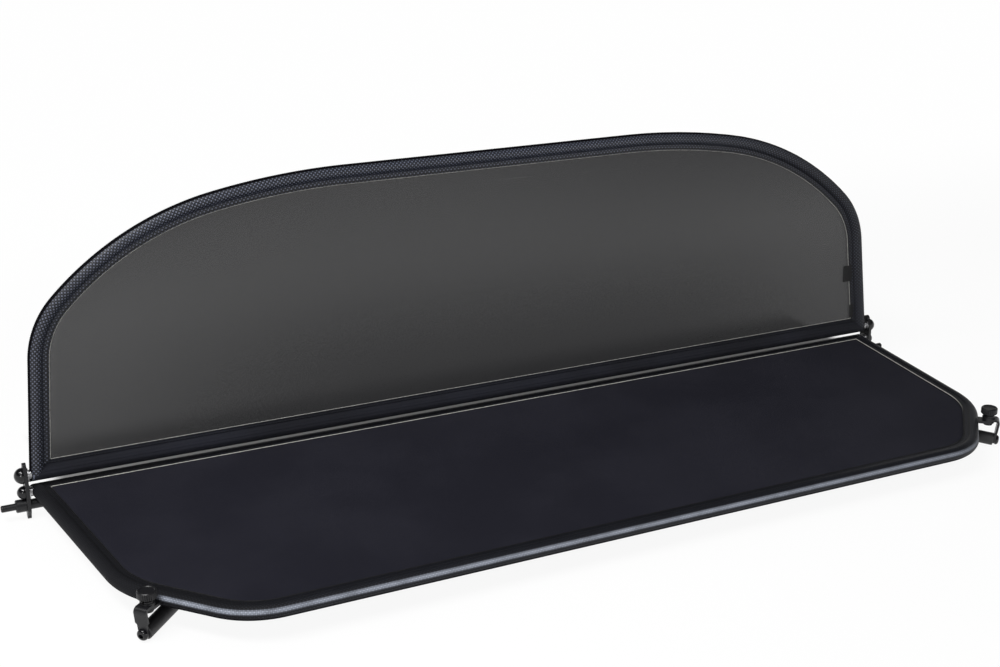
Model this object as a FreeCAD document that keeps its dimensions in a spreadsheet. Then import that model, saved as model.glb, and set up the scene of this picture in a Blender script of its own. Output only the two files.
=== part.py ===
import FreeCAD, Part
import math
import os
import Sketcher

# Folding wind deflector for an open car: a D-shaped mesh screen stands on the rear edge of a flat
# cloth cover. Both are stretched on bent steel tube and joined by a hinge plate at each end. Sprung
# pins at the hinge line and swivelling hooks on the front corners hold it in the car.
#
# Millimetres and degrees. +X is to the right along the hinge line, -Y towards the front edge of the
# cover, +Z up. The origin is the middle of the footprint, on the surface that the part stands on.
# Pieces are drawn about the hinge line or their own axis, then set in place by their Placement.

V = FreeCAD.Vector
LEFT = -1
RIGHT = 1
SIDE_NAMES = {LEFT: "left", RIGHT: "right"}
X_AXIS = V(1, 0, 0)
Y_AXIS = V(0, 1, 0)
Z_AXIS = V(0, 0, 1)

# Driving dimensions: name, value, what it is.
DIMENSIONS = [
    ("half_width", 500, "hinge line centre to the corner of both tube frames"),
    ("stand_height", 27.9, "cover tube axis above the surface it stands on"),
    ("tube_diameter", 12, "bent frame tube, outside"),
    ("tube_wall", 1.2, "wall of the frame tube"),
    ("sleeve_gap", 0.15, "tube to cloth sleeve"),
    ("sleeve_wall", 0.85, "cloth sleeve"),
    ("joint_gap", 0.05, "between faces that seat on each other"),
    # cover frame, corners of its centre line
    ("cover_side_half", 469.3, "half width at the side corner"),
    ("cover_side_depth", 234.1, "hinge line to the side corner"),
    ("cover_front_half", 387.5, "half width at the front corner"),
    ("cover_front_depth", 326, "hinge line to the front edge"),
    ("cover_side_bend", 98.9, "bend at the side corner"),
    ("cover_front_bend", 69.2, "bend at the front corner"),
    ("cover_binding_reach", 9, "tube axis to the inner edge of the binding"),
    ("cover_binding_height", 4.3, "tube axis to the underside of the binding's flange"),
    ("cover_binding_thickness", 1.4, "flange of the binding"),
    ("cover_cloth_thickness", 0.8, "stretched cover cloth"),
    # screen frame
    ("pivot_rise", 17.8, "cover tube axis to screen pivot"),
    ("screen_lean", 3.35, "rearward lean of the open screen"),
    ("screen_side_taper", 5.4, "inward slope of the straight sides"),
    ("screen_side_length", 113.6, "straight side from the foot corner"),
    ("screen_corner_bend", 87.4, "radius of the lower arc"),
    ("screen_corner_sweep", 40.1, "turn of the lower arc"),
    ("screen_shoulder_bend", 306.8, "radius of the long shoulder arc"),
    ("screen_shoulder_sweep", 33.9, "turn of the long shoulder arc"),
    ("screen_crown_bend", 758, "radius of the arc that runs into the level top"),
    ("screen_binding_reach", 13, "tube axis to the inner edge of the binding"),
    ("screen_binding_thickness", 1.6, "flange of the binding"),
    ("screen_mesh_thickness", 0.6, "fine mesh"),
    ("tab_width", 10, "wide edge tab"),
    ("tab_height", 20, "wide edge tab"),
    ("tab_rise", 61, "hinge line to the wide tab"),
    ("narrow_tab_width", 2.4, "narrow edge tab"),
    ("narrow_tab_height", 17, "narrow edge tab"),
    ("narrow_tab_rise", 14, "hinge line to the narrow tab"),
    ("tab_thickness", 1, "edge tabs"),
    # hinge plates and their screws
    ("plate_gap", 2.5, "sleeve to hinge plate"),
    ("plate_thickness", 3.5, "hinge plate"),
    ("plate_width", 17, "hinge plate across its middle"),
    ("plate_top", 30.8, "cover tube axis to the upper tongue's end"),
    ("tongue_width", 8, "both tongues of the hinge plate"),
    ("taper_height", 11, "where the plate narrows to its tongue"),
    ("screw_diameter", 5.9, "M6 shanks"),
    ("screw_clearance", 0.07, "radial clearance of a shank in a plain hole"),
    ("thread_clearance", 0.04, "radial clearance of a shank in a threaded hole"),
    ("screw_length", 27, "shank under the dome head"),
    ("pivot_head_diameter", 16, "dome of the screen's pivot screw"),
    ("pivot_head_height", 8.6, "dome of the screen's pivot screw"),
    ("cover_head_diameter", 13.2, "dome of the cover screw"),
    ("cover_head_height", 7.4, "dome of the cover screw"),
    ("washer_diameter", 14, "spacer between plug and plate"),
    ("plug_length", 34, "threaded plug in the tube end"),
    # locating pins
    ("pin_drop", 13.3, "cover tube axis to pin axis"),
    ("pin_diameter", 7.2, "locating pin, where it runs in its collar"),
    ("pin_end_diameter", 6.8, "locating pin, ground-down free end"),
    ("pin_clearance", 0.06, "radial clearance of the pin in its collar"),
    ("pin_reach", 14, "pin beyond its collar"),
    ("pin_travel", 10, "how far the pin can be pushed in"),
    ("pin_shoulder_length", 4, "shoulder that keeps the pin in"),
    ("pin_tail_diameter", 3.8, "inner end of the pin, inside the spring"),
    ("pin_tail_length", 20, "inner end of the pin, inside the spring"),
    ("collar_diameter", 12.8, "turned collar"),
    ("collar_length", 10, "turned collar"),
    ("collar_spigot", 6, "collar inside the guide tube"),
    ("pin_shoulder_height", 0.5, "shoulder above the surface of the pin"),
    ("guide_wall", 0.85, "guide tube"),
    ("guide_length", 46, "guide tube behind the plate"),
    ("stop_length", 4, "plug at the guide tube's end"),
    ("spring_wire", 1, "pin spring"),
    ("spring_turns", 7, "pin spring"),
    # corner lugs, hooks and thumb screws
    ("lug_station", 35.6, "side corner to the thumb screw along the chamfered edge"),
    ("lug_reach", 17.5, "tube axis to the thumb screw"),
    ("lug_thickness", 2.8, "welded lug"),
    ("lug_rise", -0.6, "tube axis to the middle of the lug's thickness"),
    ("lug_width", 12.5, "welded lug"),
    ("boss_diameter", 9, "threaded boss under the lug"),
    ("boss_height", 2.4, "threaded boss under the lug"),
    ("strap_thickness", 2.4, "hook strap"),
    ("strap_width", 12.5, "hook strap"),
    ("strap_bend", 2, "inside bend of the strap"),
    ("leg_reach", 8.4, "thumb screw to the middle of the leg, at the jaw bolt"),
    ("leg_end_width", 9.2, "narrowed lower end of the leg"),
    ("leg_shoulder_rise", 9, "jaw bolt to the shoulders where the leg narrows"),
    ("jaw_rise", 7, "slope of the jaw towards the car's trim"),
    ("jaw_diameter", 13.6, "rubber jaw"),
    ("jaw_length", 46, "rubber jaw"),
    ("jaw_edge", 0.6, "chamfer at the jaw's outer end"),
    ("rod_diameter", 9, "steel rod inside the jaw"),
    ("rod_thread_depth", 14, "threaded hole in the rod"),
    ("rubber_wall_end", 3, "rubber beyond the rod's inner end"),
    ("bolt_head_diameter", 10.5, "button head"),
    ("bolt_head_height", 3.3, "button head"),
    ("bolt_length", 14, "shank of the jaw bolt"),
    ("socket_width", 4, "hexagon socket, across flats"),
    ("socket_depth", 2, "hexagon socket"),
    ("flat_washer_diameter", 13.2, "washer on the strap"),
    ("flat_washer_thickness", 1.5, "washer on the strap"),
    ("spring_washer_diameter", 12, "split washer under the thumb screw"),
    ("spring_washer_thickness", 1.6, "split washer under the thumb screw"),
    ("spring_washer_gap", 1.4, "split of the spring washer"),
    ("knob_diameter", 17.2, "knurled head"),
    ("knob_height", 7.2, "knurled head"),
    ("knob_neck_diameter", 10, "neck under the knurled head"),
    ("knob_neck_height", 1.7, "neck under the knurled head"),
    ("knob_dish", 0.7, "hollow in the top of the head"),
    ("knurl_depth", 0.45, "grooves round the head"),
    ("knurl_count", 30, "grooves round the head"),
    ("stud_tip", 0.8, "stud beyond the boss"),
]

document = FreeCAD.newDocument("wind_deflector")
dims = document.addObject("Spreadsheet::Sheet", "dims")
for row, (alias, number, meaning) in enumerate(DIMENSIONS, 1):
    dims.set("A%d" % row, alias)
    dims.set("B%d" % row, str(number))
    dims.set("C%d" % row, meaning)
    dims.setAlias("B%d" % row, alias)
document.recompute()

# Sizes worked out from the driving ones, as expression text that pieces share.
TUBE_RADIUS = "(dims.tube_diameter / 2)"
TUBE_BORE_RADIUS = "(dims.tube_diameter / 2 - dims.tube_wall)"
SLEEVE_INNER_RADIUS = "(dims.tube_diameter / 2 + dims.sleeve_gap)"
SLEEVE_RADIUS = "(dims.tube_diameter / 2 + dims.sleeve_gap + dims.sleeve_wall)"
PLATE_INNER = "(dims.half_width + %s + dims.plate_gap)" % SLEEVE_RADIUS
PLATE_OUTER = "(%s + dims.plate_thickness)" % PLATE_INNER
PLUG_END = "(dims.half_width + %s + dims.plate_gap / 2)" % SLEEVE_RADIUS
PLUG_RADIUS = "(%s - dims.joint_gap)" % TUBE_BORE_RADIUS
SHANK_RADIUS = "(dims.screw_diameter / 2)"
PLAIN_HOLE_RADIUS = "(dims.screw_diameter / 2 + dims.screw_clearance)"
THREAD_RADIUS = "(dims.screw_diameter / 2 + dims.thread_clearance)"
GUIDE_BORE_RADIUS = "(dims.pin_diameter / 2 + dims.pin_shoulder_height + dims.joint_gap)"
GUIDE_RADIUS = "(%s + dims.guide_wall)" % GUIDE_BORE_RADIUS
PIN_RADIUS = "(dims.pin_diameter / 2)"
COLLAR_BORE_RADIUS = "(dims.pin_diameter / 2 + dims.pin_clearance)"
LUG_TOP = "(dims.lug_rise + dims.lug_thickness / 2)"
LUG_UNDERSIDE = "(dims.lug_rise - dims.lug_thickness / 2)"
BOSS_FOOT = "(%s - dims.boss_height)" % LUG_UNDERSIDE
STRAP_TOP = "(%s + dims.joint_gap + dims.strap_thickness)" % LUG_TOP
FLAT_WASHER_BASE = "(%s + dims.joint_gap)" % STRAP_TOP
SPRING_WASHER_BASE = "(%s + dims.flat_washer_thickness + dims.joint_gap)" % FLAT_WASHER_BASE
NECK_BASE = "(%s + dims.spring_washer_thickness + dims.joint_gap)" % SPRING_WASHER_BASE
KNOB_BASE = "(%s + dims.knob_neck_height)" % NECK_BASE
KNOB_TOP = "(%s + dims.knob_height)" % KNOB_BASE
JAW_RADIUS = "(dims.jaw_diameter / 2)"
ROD_RADIUS = "(dims.rod_diameter / 2)"
BOLT_RISE = ("(dims.jaw_diameter / 2 * cos(dims.jaw_rise) - dims.stand_height"
             " - (dims.strap_thickness / 2 + dims.joint_gap + dims.jaw_edge) * sin(dims.jaw_rise))")


def size(expression):
    """The number that an expression on the sheet comes to."""
    return float(dims.evalExpression(expression))


def bind(feature, **expressions):
    """Bind properties of a feature to expressions."""
    for name, text in expressions.items():
        feature.setExpression(name, text)
    return feature


def new_body(label):
    body = document.addObject("PartDesign::Body", label)
    body.Label = label
    return body


def new_sketch(body, role):
    """Sketch on one of the body's own origin planes."""
    sketch = body.newObject("Sketcher::SketchObject", "sketch")
    plane = next(item for item in body.Origin.OriginFeatures if item.Role == role)
    sketch.AttachmentSupport = [(plane, "")]
    sketch.MapMode = "FlatFace"
    return sketch


def bind_point(sketch, geometry, end, x, y):
    """Hold a sketch point at two expressions; "0" puts it on the sketch's axis."""
    for kind, text, axis in (("DistanceX", x, -2), ("DistanceY", y, -1)):
        if text == "0":
            sketch.addConstraint(Sketcher.Constraint("PointOnObject", geometry, end, axis))
            continue
        index = sketch.addConstraint(Sketcher.Constraint(kind, -1, 1, geometry, end, size(text)))
        sketch.setExpression("Constraints[%d]" % index, text)


def bind_value(sketch, kind, geometry, text, factor=1.0):
    index = sketch.addConstraint(Sketcher.Constraint(kind, geometry, size(text) * factor))
    sketch.setExpression("Constraints[%d]" % index, text)


def arc_between(start, end, radius, turn):
    """Arc of a circle from start to end; turn is 1 to the left, -1 to the right."""
    chord = end - start
    middle = (start + end) * 0.5
    height = math.sqrt(max(radius ** 2 - (chord.Length / 2) ** 2, 0.0))
    left = V(-chord.y, chord.x, 0).normalize()
    centre = middle + left * (turn * height)
    first, last = (start, end) if turn > 0 else (end, start)
    begin = math.atan2(first.y - centre.y, first.x - centre.x)
    finish = math.atan2(last.y - centre.y, last.x - centre.x)
    if finish < begin:
        finish += 2 * math.pi
    return Part.ArcOfCircle(Part.Circle(centre, Z_AXIS, radius), begin, finish)


def draw_profile(sketch, corners):
    """Closed profile through corners (x, y), or (x, y, radius, turn) where an arc arrives."""
    points = [V(size(corner[0]), size(corner[1]), 0) for corner in corners]
    edges = []
    for index, corner in enumerate(corners):
        start, end = points[index - 1], points[index]
        if len(corner) == 2:
            edges.append((sketch.addGeometry(Part.LineSegment(start, end), False), 1, 2))
            continue
        radius, turn = corner[2], corner[3]
        arc = sketch.addGeometry(arc_between(start, end, size(radius), turn), False)
        edges.append((arc, 1, 2) if turn > 0 else (arc, 2, 1))
    for index, (edge, _, tail) in enumerate(edges):
        following, head, _ = edges[(index + 1) % len(edges)]
        sketch.addConstraint(Sketcher.Constraint("Coincident", edge, tail, following, head))
        bind_point(sketch, edge, tail, corners[index][0], corners[index][1])
        if len(corners[index]) == 4:
            bind_value(sketch, "Radius", edge, corners[index][2])


def draw_circle(sketch, x, y, diameter):
    circle = Part.Circle(V(size(x), size(y), 0), Z_AXIS, size(diameter) / 2)
    index = sketch.addGeometry(circle, False)
    bind_point(sketch, index, 3, x, y)
    bind_value(sketch, "Diameter", index, diameter)


def draw_hexagon(sketch, across_flats):
    """Hexagon about the sketch's origin."""
    corners = []
    for step in range(6):
        reach = "%s / sqrt(3)" % across_flats
        corners.append(("%s * cos(%d)" % (reach, 60 * step + 30), "%s * sin(%d)" % (reach, 60 * step + 30)))
    draw_profile(sketch, corners)


def pad(body, sketch, length, centred=False):
    feature = body.newObject("PartDesign::Pad", "pad")
    feature.Profile = sketch
    if centred:
        feature.SideType = "Symmetric"
    return bind(feature, Length=length)


def pocket_through(body, sketch):
    feature = body.newObject("PartDesign::Pocket", "pocket")
    feature.Profile = sketch
    feature.SideType = "Symmetric"
    feature.Type = "ThroughAll"
    return feature


def turn_about_z(body, corners):
    """Turned form from a half section of (radius, height) corners."""
    sketch = new_sketch(body, "XZ_Plane")
    draw_profile(sketch, corners)
    feature = body.newObject("PartDesign::Revolution", "turning")
    feature.Profile = sketch
    feature.ReferenceAxis = (sketch, ["V_Axis"])
    feature.Angle = 360
    return feature


def turned_piece(label, corners):
    body = new_body(label)
    turn_about_z(body, corners)
    return body


def round_edges(body, base, radius, wanted):
    """Fillet the edges of the body so far whose middle and direction satisfy wanted."""
    document.recompute()
    names = []
    for number, edge in enumerate(base.Shape.Edges, 1):
        middle = edge.valueAt((edge.FirstParameter + edge.LastParameter) / 2)
        along = edge.tangentAt(edge.FirstParameter)
        if wanted(middle, along):
            names.append("Edge%d" % number)
    feature = body.newObject("PartDesign::Fillet", "fillet")
    feature.Base = (base, names)
    return bind(feature, Radius=radius)


# ---------------------------------------------------------------- frames that pieces are placed in

def screen_bends():
    """Radius and turn of the screen's three arcs on each side; the last one ends level."""
    heading = math.radians(90 + size("dims.screen_side_taper"))
    bends = []
    for name in ("corner", "shoulder"):
        sweep = math.radians(size("dims.screen_%s_sweep" % name))
        bends.append((size("dims.screen_%s_bend" % name), sweep))
        heading += sweep
    return bends + [(size("dims.screen_crown_bend"), math.pi - heading)]


def screen_height():
    """Centre line height of the screen in its own plane."""
    heading = math.radians(90 + size("dims.screen_side_taper"))
    height = size("dims.screen_side_length") * math.sin(heading)
    for radius, sweep in screen_bends():
        height += radius * (math.cos(heading) - math.cos(heading + sweep))
        heading += sweep
    return height


def rotation(axis, angle):
    return FreeCAD.Rotation(axis, angle)


front_reach = size("dims.cover_front_depth + %s" % SLEEVE_RADIUS)
lean = math.radians(size("dims.screen_lean"))
rear_reach = screen_height() * math.sin(lean) + size(SLEEVE_RADIUS)
hinge_line = V(0, (front_reach - rear_reach) / 2, size("dims.stand_height"))
cover_frame = FreeCAD.Placement(hinge_line, FreeCAD.Rotation())
screen_frame = FreeCAD.Placement(hinge_line + Z_AXIS * size("dims.pivot_rise"),
                                 rotation(X_AXIS, -size("dims.screen_lean")))


def chamfer_frame(side):
    """Origin at the thumb screw's axis on the tube's level, +X outward across the chamfered edge."""
    side_corner = V(size("dims.cover_side_half"), -size("dims.cover_side_depth"), 0)
    front_corner = V(size("dims.cover_front_half"), -size("dims.cover_front_depth"), 0)
    along = (front_corner - side_corner).normalize()
    outward = V(-along.y, along.x, 0)
    centre = side_corner + along * size("dims.lug_station") + outward * size("dims.lug_reach")
    angle = math.degrees(math.atan2(outward.y, outward.x))
    if side == LEFT:
        centre.x = -centre.x
        angle = 180 - angle
    return cover_frame.multiply(FreeCAD.Placement(centre, rotation(Z_AXIS, angle)))


def end_frame(side, height):
    """Origin on the middle plane at a height above the cover tube's axis, +Z out to that side."""
    facing = rotation(Y_AXIS, 90 * side)
    return cover_frame.multiply(FreeCAD.Placement(Z_AXIS * height, facing))


def jaw_frame(side):
    """Origin where the jaw bolt crosses the leg's middle, +Z along the bolt out to its head."""
    crossing = V(size("dims.leg_reach"), 0, size(BOLT_RISE))
    outward = rotation(Y_AXIS, 90 + size("dims.jaw_rise"))
    return chamfer_frame(side).multiply(FreeCAD.Placement(crossing, outward))


finished = []


def finish(piece, placement):
    """Set a sub-part in place and keep it for the hand-over."""
    piece.Placement = placement
    finished.append(piece)
    return piece


# ---------------------------------------------------------------- outlines of the two tube frames

def join(sketch, first, first_end, second, second_end):
    """Tangent joint of two sketch edges."""
    sketch.addConstraint(Sketcher.Constraint("Tangent", first, first_end, second, second_end))


def half_loop(sketch, points, bends, side):
    """Half a loop with rounded corners, from the middle of its first side to the middle of its last.

    points are the corners' coordinates as numbers for the start of the drawing, bends the radii's
    expressions. Returns the edges in order, each with its start and end, lines and arcs in turn."""
    edges = []
    start = V(side * points[0][0], points[0][1], 0)
    for index, text in enumerate(bends, 1):
        corner = V(side * points[index][0], points[index][1], 0)
        after = V(side * points[index + 1][0], points[index + 1][1], 0)
        arriving = (corner - V(side * points[index - 1][0], points[index - 1][1], 0)).normalize()
        leaving = (after - corner).normalize()
        reach = size(text) * math.tan(arriving.getAngle(leaving) / 2)
        bend_start = corner - arriving * reach
        bend_end = corner + leaving * reach
        edges.append((sketch.addGeometry(Part.LineSegment(start, bend_start), False), 1, 2))
        arc = sketch.addGeometry(arc_between(bend_start, bend_end, size(text), side), False)
        edges.append((arc, 1, 2) if side > 0 else (arc, 2, 1))
        start = bend_end
    last = V(side * points[-1][0], points[-1][1], 0)
    edges.append((sketch.addGeometry(Part.LineSegment(start, last), False), 1, 2))
    for (first, _, tail), (second, head, _) in zip(edges, edges[1:]):
        join(sketch, first, tail, second, head)
    for (arc, _, _), text in zip(edges[1::2], bends):
        bind_value(sketch, "Radius", arc, text)
    return edges


def signed(side, text):
    return text if side > 0 else "-(%s)" % text


def cover_outline():
    """Centre line of the cover's tube: a sketch in the XY plane. The rear corners are mitred."""
    sketch = document.addObject("Sketcher::SketchObject", "cover_outline")
    corners = [("dims.cover_front_half", "-dims.cover_front_depth"),
               ("dims.cover_side_half", "-dims.cover_side_depth")]
    bends = ["dims.cover_front_bend", "dims.cover_side_bend"]
    points = [(0, -size("dims.cover_front_depth"))]
    points += [(size(x), size(y)) for x, y in corners]
    points += [(size("dims.half_width"), 0)]
    first = None
    for side in (RIGHT, LEFT):
        edges = half_loop(sketch, points, bends, side)
        lines = [edge[0] for edge in edges[::2]]
        rear_corner = V(side * size("dims.half_width"), 0, 0)
        rear = sketch.addGeometry(Part.LineSegment(rear_corner, V()), False)
        sketch.addConstraint(Sketcher.Constraint("Coincident", lines[-1], 2, rear, 1))
        bind_point(sketch, rear, 1, signed(side, "dims.half_width"), "0")
        if first is None:
            first = (lines[0], rear)
            sketch.addConstraint(Sketcher.Constraint("PointOnObject", lines[0], 1, -2))
            sketch.addConstraint(Sketcher.Constraint("Horizontal", lines[0]))
            for axis in (-1, -2):
                sketch.addConstraint(Sketcher.Constraint("PointOnObject", rear, 2, axis))
        else:
            sketch.addConstraint(Sketcher.Constraint("Coincident", first[0], 1, lines[0], 1))
            sketch.addConstraint(Sketcher.Constraint("Coincident", first[1], 2, rear, 2))
        for (x, y), before, after in zip(corners, lines, lines[1:]):
            corner = sketch.addGeometry(Part.Point(V(side * size(x), size(y), 0)), True)
            bind_point(sketch, corner, 1, signed(side, x), y)
            sketch.addConstraint(Sketcher.Constraint("PointOnObject", corner, 1, before))
            sketch.addConstraint(Sketcher.Constraint("PointOnObject", corner, 1, after))
    return sketch


def screen_outline():
    """Centre line of the screen's tube, foot line on the X axis: a sketch in the XZ plane. The foot
    corners are mitred."""
    sketch = document.addObject("Sketcher::SketchObject", "screen_outline")
    sketch.Placement = FreeCAD.Placement(V(), rotation(X_AXIS, 90))
    first = None
    for side in (RIGHT, LEFT):
        foot = V(side * size("dims.half_width"), 0, 0)
        heading = math.radians(90 + size("dims.screen_side_taper"))
        rising = V(side * math.cos(heading), math.sin(heading), 0)
        point = foot + rising * size("dims.screen_side_length")
        base = sketch.addGeometry(Part.LineSegment(V(), foot), False)
        flank = sketch.addGeometry(Part.LineSegment(foot, point), False)
        arcs = []
        for radius, sweep in screen_bends():
            leaving = heading + sweep
            target = point + V(side * radius * (math.sin(leaving) - math.sin(heading)),
                               radius * (math.cos(heading) - math.cos(leaving)), 0)
            arcs.append(sketch.addGeometry(arc_between(point, target, radius, side), False))
            heading = leaving
            point = target
        top = sketch.addGeometry(Part.LineSegment(point, V(0, point.y, 0)), False)
        head, tail = (1, 2) if side > 0 else (2, 1)
        sketch.addConstraint(Sketcher.Constraint("Coincident", base, 2, flank, 1))
        join(sketch, flank, 2, arcs[0], head)
        join(sketch, arcs[0], tail, arcs[1], head)
        join(sketch, arcs[1], tail, arcs[2], head)
        join(sketch, arcs[2], tail, top, 1)
        for arc, name in zip(arcs, ("corner", "shoulder", "crown")):
            bind_value(sketch, "Radius", arc, "dims.screen_%s_bend" % name)
        for arc, name in zip(arcs, ("corner", "shoulder")):
            bind_value(sketch, "Angle", arc, "dims.screen_%s_sweep * 1deg" % name, math.pi / 180)
        if first is None:
            first = (base, top)
            sketch.addConstraint(Sketcher.Constraint("Horizontal", top))
            sketch.addConstraint(Sketcher.Constraint("PointOnObject", top, 2, -2))
            for axis in (-1, -2):
                sketch.addConstraint(Sketcher.Constraint("PointOnObject", base, 1, axis))
        else:
            sketch.addConstraint(Sketcher.Constraint("Coincident", first[0], 1, base, 1))
            sketch.addConstraint(Sketcher.Constraint("Coincident", first[1], 2, top, 2))
        bind_point(sketch, flank, 1, signed(side, "dims.half_width"), "0")
        bind_point(sketch, flank, 2,
                   signed(side, "dims.half_width - dims.screen_side_length * sin(dims.screen_side_taper)"),
                   "dims.screen_side_length * cos(dims.screen_side_taper)")
    return sketch


# ---------------------------------------------------------------- solids that follow an outline

def tube_along(outline, radius, start, facing):
    """Solid rod of a radius along an outline; start and facing place its section on the path."""
    section = document.addObject("Part::Circle", "section")
    bind(section, Radius=radius)
    section.Placement = FreeCAD.Placement(start, facing)
    rod = document.addObject("Part::Sweep", "rod")
    rod.Sections = [section]
    rod.Spine = (outline, [])
    rod.Transition = "Right corner"
    rod.Solid = True
    return rod


def slab_inside(outline, inset, thickness):
    """Plate within the outline drawn in by an inset, from the outline's plane along its normal."""
    rim = document.addObject("Part::Offset2D", "rim")
    rim.Source = outline
    rim.Join = "Arc"
    bind(rim, Value="-(%s)" % inset)
    slab = document.addObject("Part::Extrusion", "slab")
    slab.Base = rim
    slab.DirMode = "Normal"
    slab.Solid = True
    return bind(slab, LengthFwd=thickness)


def minus(label, base, tool):
    cut = document.addObject("Part::Cut", label)
    cut.Label = label
    cut.Base = base
    cut.Tool = tool
    return cut


def plus(label, pieces):
    fusion = document.addObject("Part::MultiFuse", label)
    fusion.Label = label
    fusion.Shapes = pieces
    return fusion


def copy_of(piece):
    """The same solid for a second boolean, which keeps the first one's tree untouched."""
    link = document.addObject("Part::Feature", "copy")
    document.recompute()
    link.Shape = piece.Shape
    return link


def plug_rooms(radius):
    """Rods along X where the two threaded plugs sit and come out of the tube."""
    rods = []
    for side in (LEFT, RIGHT):
        rod = document.addObject("Part::Cylinder", "plug_room")
        bind(rod, Radius=radius, Height="dims.plug_length + dims.plate_gap")
        inner = V(side * size("%s - dims.plug_length" % PLUG_END), 0, 0)
        rod.Placement = FreeCAD.Placement(inner, rotation(Y_AXIS, 90 * side))
        rods.append(rod)
    return rods


def frame_tube(label, outline, start, facing, placement):
    """Bent tube, open at its corners for the two threaded plugs."""
    shell = minus("wall", tube_along(outline, TUBE_RADIUS, start, facing),
                  tube_along(outline, TUBE_BORE_RADIUS, start, facing))
    seats = plus("plug_seats", plug_rooms("%s + dims.joint_gap / 2" % TUBE_BORE_RADIUS))
    return finish(minus(label, shell, seats), placement)


def binding_ring(outline, start, facing, reach, height, thickness):
    """Cloth sleeve round the tube with a flat flange inside it, open where the plugs come out."""
    outer = tube_along(outline, SLEEVE_RADIUS, start, facing)
    flange = minus("flange", slab_inside(outline, "dims.tube_diameter / 4", thickness),
                   slab_inside(outline, reach, thickness))
    flange.Placement = FreeCAD.Placement(height, FreeCAD.Rotation())
    bore = tube_along(outline, SLEEVE_INNER_RADIUS, start, facing)
    room = plus("room", [bore] + plug_rooms("%s - dims.sleeve_gap / 2" % SLEEVE_INNER_RADIUS))
    return minus("binding", plus("cloth", [outer, flange]), room)


def make_cover_cloth(outline, start, facing):
    frame_tube("cover_frame_tube", outline, start, facing, cover_frame)

    ring = binding_ring(outline, start, facing, "dims.cover_binding_reach",
                        V(0, 0, size("dims.cover_binding_height")), "dims.cover_binding_thickness")
    slots = plus("slots", [lug_room(side) for side in (LEFT, RIGHT)])
    finish(minus("cover_binding", ring, slots), cover_frame)

    cloth = slab_inside(outline, "dims.cover_binding_reach + dims.joint_gap",
                        "dims.cover_cloth_thickness")
    cloth.Label = "cover_fabric"
    middle = "dims.cover_binding_height + (dims.cover_binding_thickness - dims.cover_cloth_thickness) / 2"
    lift = FreeCAD.Placement(V(0, 0, size(middle)), FreeCAD.Rotation())
    finish(cloth, cover_frame.multiply(lift))


def lug_room(side):
    """Opening in the cover's binding for a welded lug, in the cover's own frame."""
    room = document.addObject("Part::Box", "lug_room")
    spare = "2 * dims.sleeve_gap"
    bind(room, Length="dims.lug_reach", Width="dims.lug_width + 2 * %s" % spare,
         Height="dims.lug_thickness + 2 * %s" % spare)
    corner = V(-size("dims.lug_reach"), -size("dims.lug_width / 2 + %s" % spare),
               size("%s - %s" % (LUG_UNDERSIDE, spare)))
    local = cover_frame.inverse().multiply(chamfer_frame(side))
    room.Placement = local.multiply(FreeCAD.Placement(corner, FreeCAD.Rotation()))
    return room


def foot_wedge(spare):
    """Prism whose sloping ends mitre the base binding to the side binding at 45 degrees."""
    half = size("dims.half_width") + spare
    low = 2 * size(SLEEVE_RADIUS)
    high = 2 * size("dims.screen_binding_reach")
    corners = [V(-half - low, 0, -low), V(half + low, 0, -low), V(half - high, 0, high),
               V(-half + high, 0, high)]
    outline = Part.makePolygon(corners + corners[:1])
    prism = document.addObject("Part::Feature", "foot_wedge")
    prism.Shape = Part.Face(outline).extrude(V(0, 4 * size(SLEEVE_RADIUS), 0))
    prism.Placement = FreeCAD.Placement(V(0, -2 * size(SLEEVE_RADIUS), 0), FreeCAD.Rotation())
    return prism


def make_screen_cloth(outline, start, facing):
    frame_tube("screen_frame_tube", outline, start, facing, screen_frame)

    half_flange = V(0, size("dims.screen_binding_thickness / 2"), 0)
    ring = binding_ring(outline, start, facing, "dims.screen_binding_reach", half_flange,
                        "dims.screen_binding_thickness")
    finish(minus("screen_binding", ring, foot_wedge(size("dims.joint_gap"))), screen_frame)
    base = document.addObject("Part::Common", "screen_base_binding")
    base.Label = "screen_base_binding"
    base.Base = copy_of(ring)
    base.Tool = foot_wedge(-size("dims.joint_gap"))
    finish(base, screen_frame)

    mesh = slab_inside(outline, "dims.screen_binding_reach + dims.joint_gap",
                       "dims.screen_mesh_thickness")
    mesh.Label = "screen_mesh"
    centre = FreeCAD.Placement(V(0, size("dims.screen_mesh_thickness / 2"), 0), FreeCAD.Rotation())
    finish(mesh, screen_frame.multiply(centre))


def make_edge_tabs():
    """Two blank cloth tabs sewn to the front of the right-hand binding's inner edge."""
    body = new_body("edge_tabs")
    sketch = new_sketch(body, "XZ_Plane")
    for rise, width, height in (("dims.tab_rise", "dims.tab_width", "dims.tab_height"),
                                ("dims.narrow_tab_rise", "dims.narrow_tab_width",
                                 "dims.narrow_tab_height")):
        edge = "(dims.half_width - dims.screen_binding_reach - (%s) * tan(dims.screen_side_taper))" % rise
        lap = "dims.narrow_tab_width"
        draw_profile(sketch, [("%s + %s" % (edge, lap), rise),
                              ("%s + %s" % (edge, lap), "%s + %s" % (rise, height)),
                              ("%s - %s" % (edge, width), "%s + %s" % (rise, height)),
                              ("%s - %s" % (edge, width), rise)])
    feature = pad(body, sketch, "dims.tab_thickness")
    feature.AllowMultiFace = True
    clear = -size("dims.screen_binding_thickness / 2 + dims.joint_gap")
    finish(body, screen_frame.multiply(FreeCAD.Placement(V(0, clear, 0), FreeCAD.Rotation())))


# ---------------------------------------------------------------- hinge plates, plugs and screws

def ring_section(inner, outer, low, high):
    return [(inner, low), (outer, low), (outer, high), (inner, high)]


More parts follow.
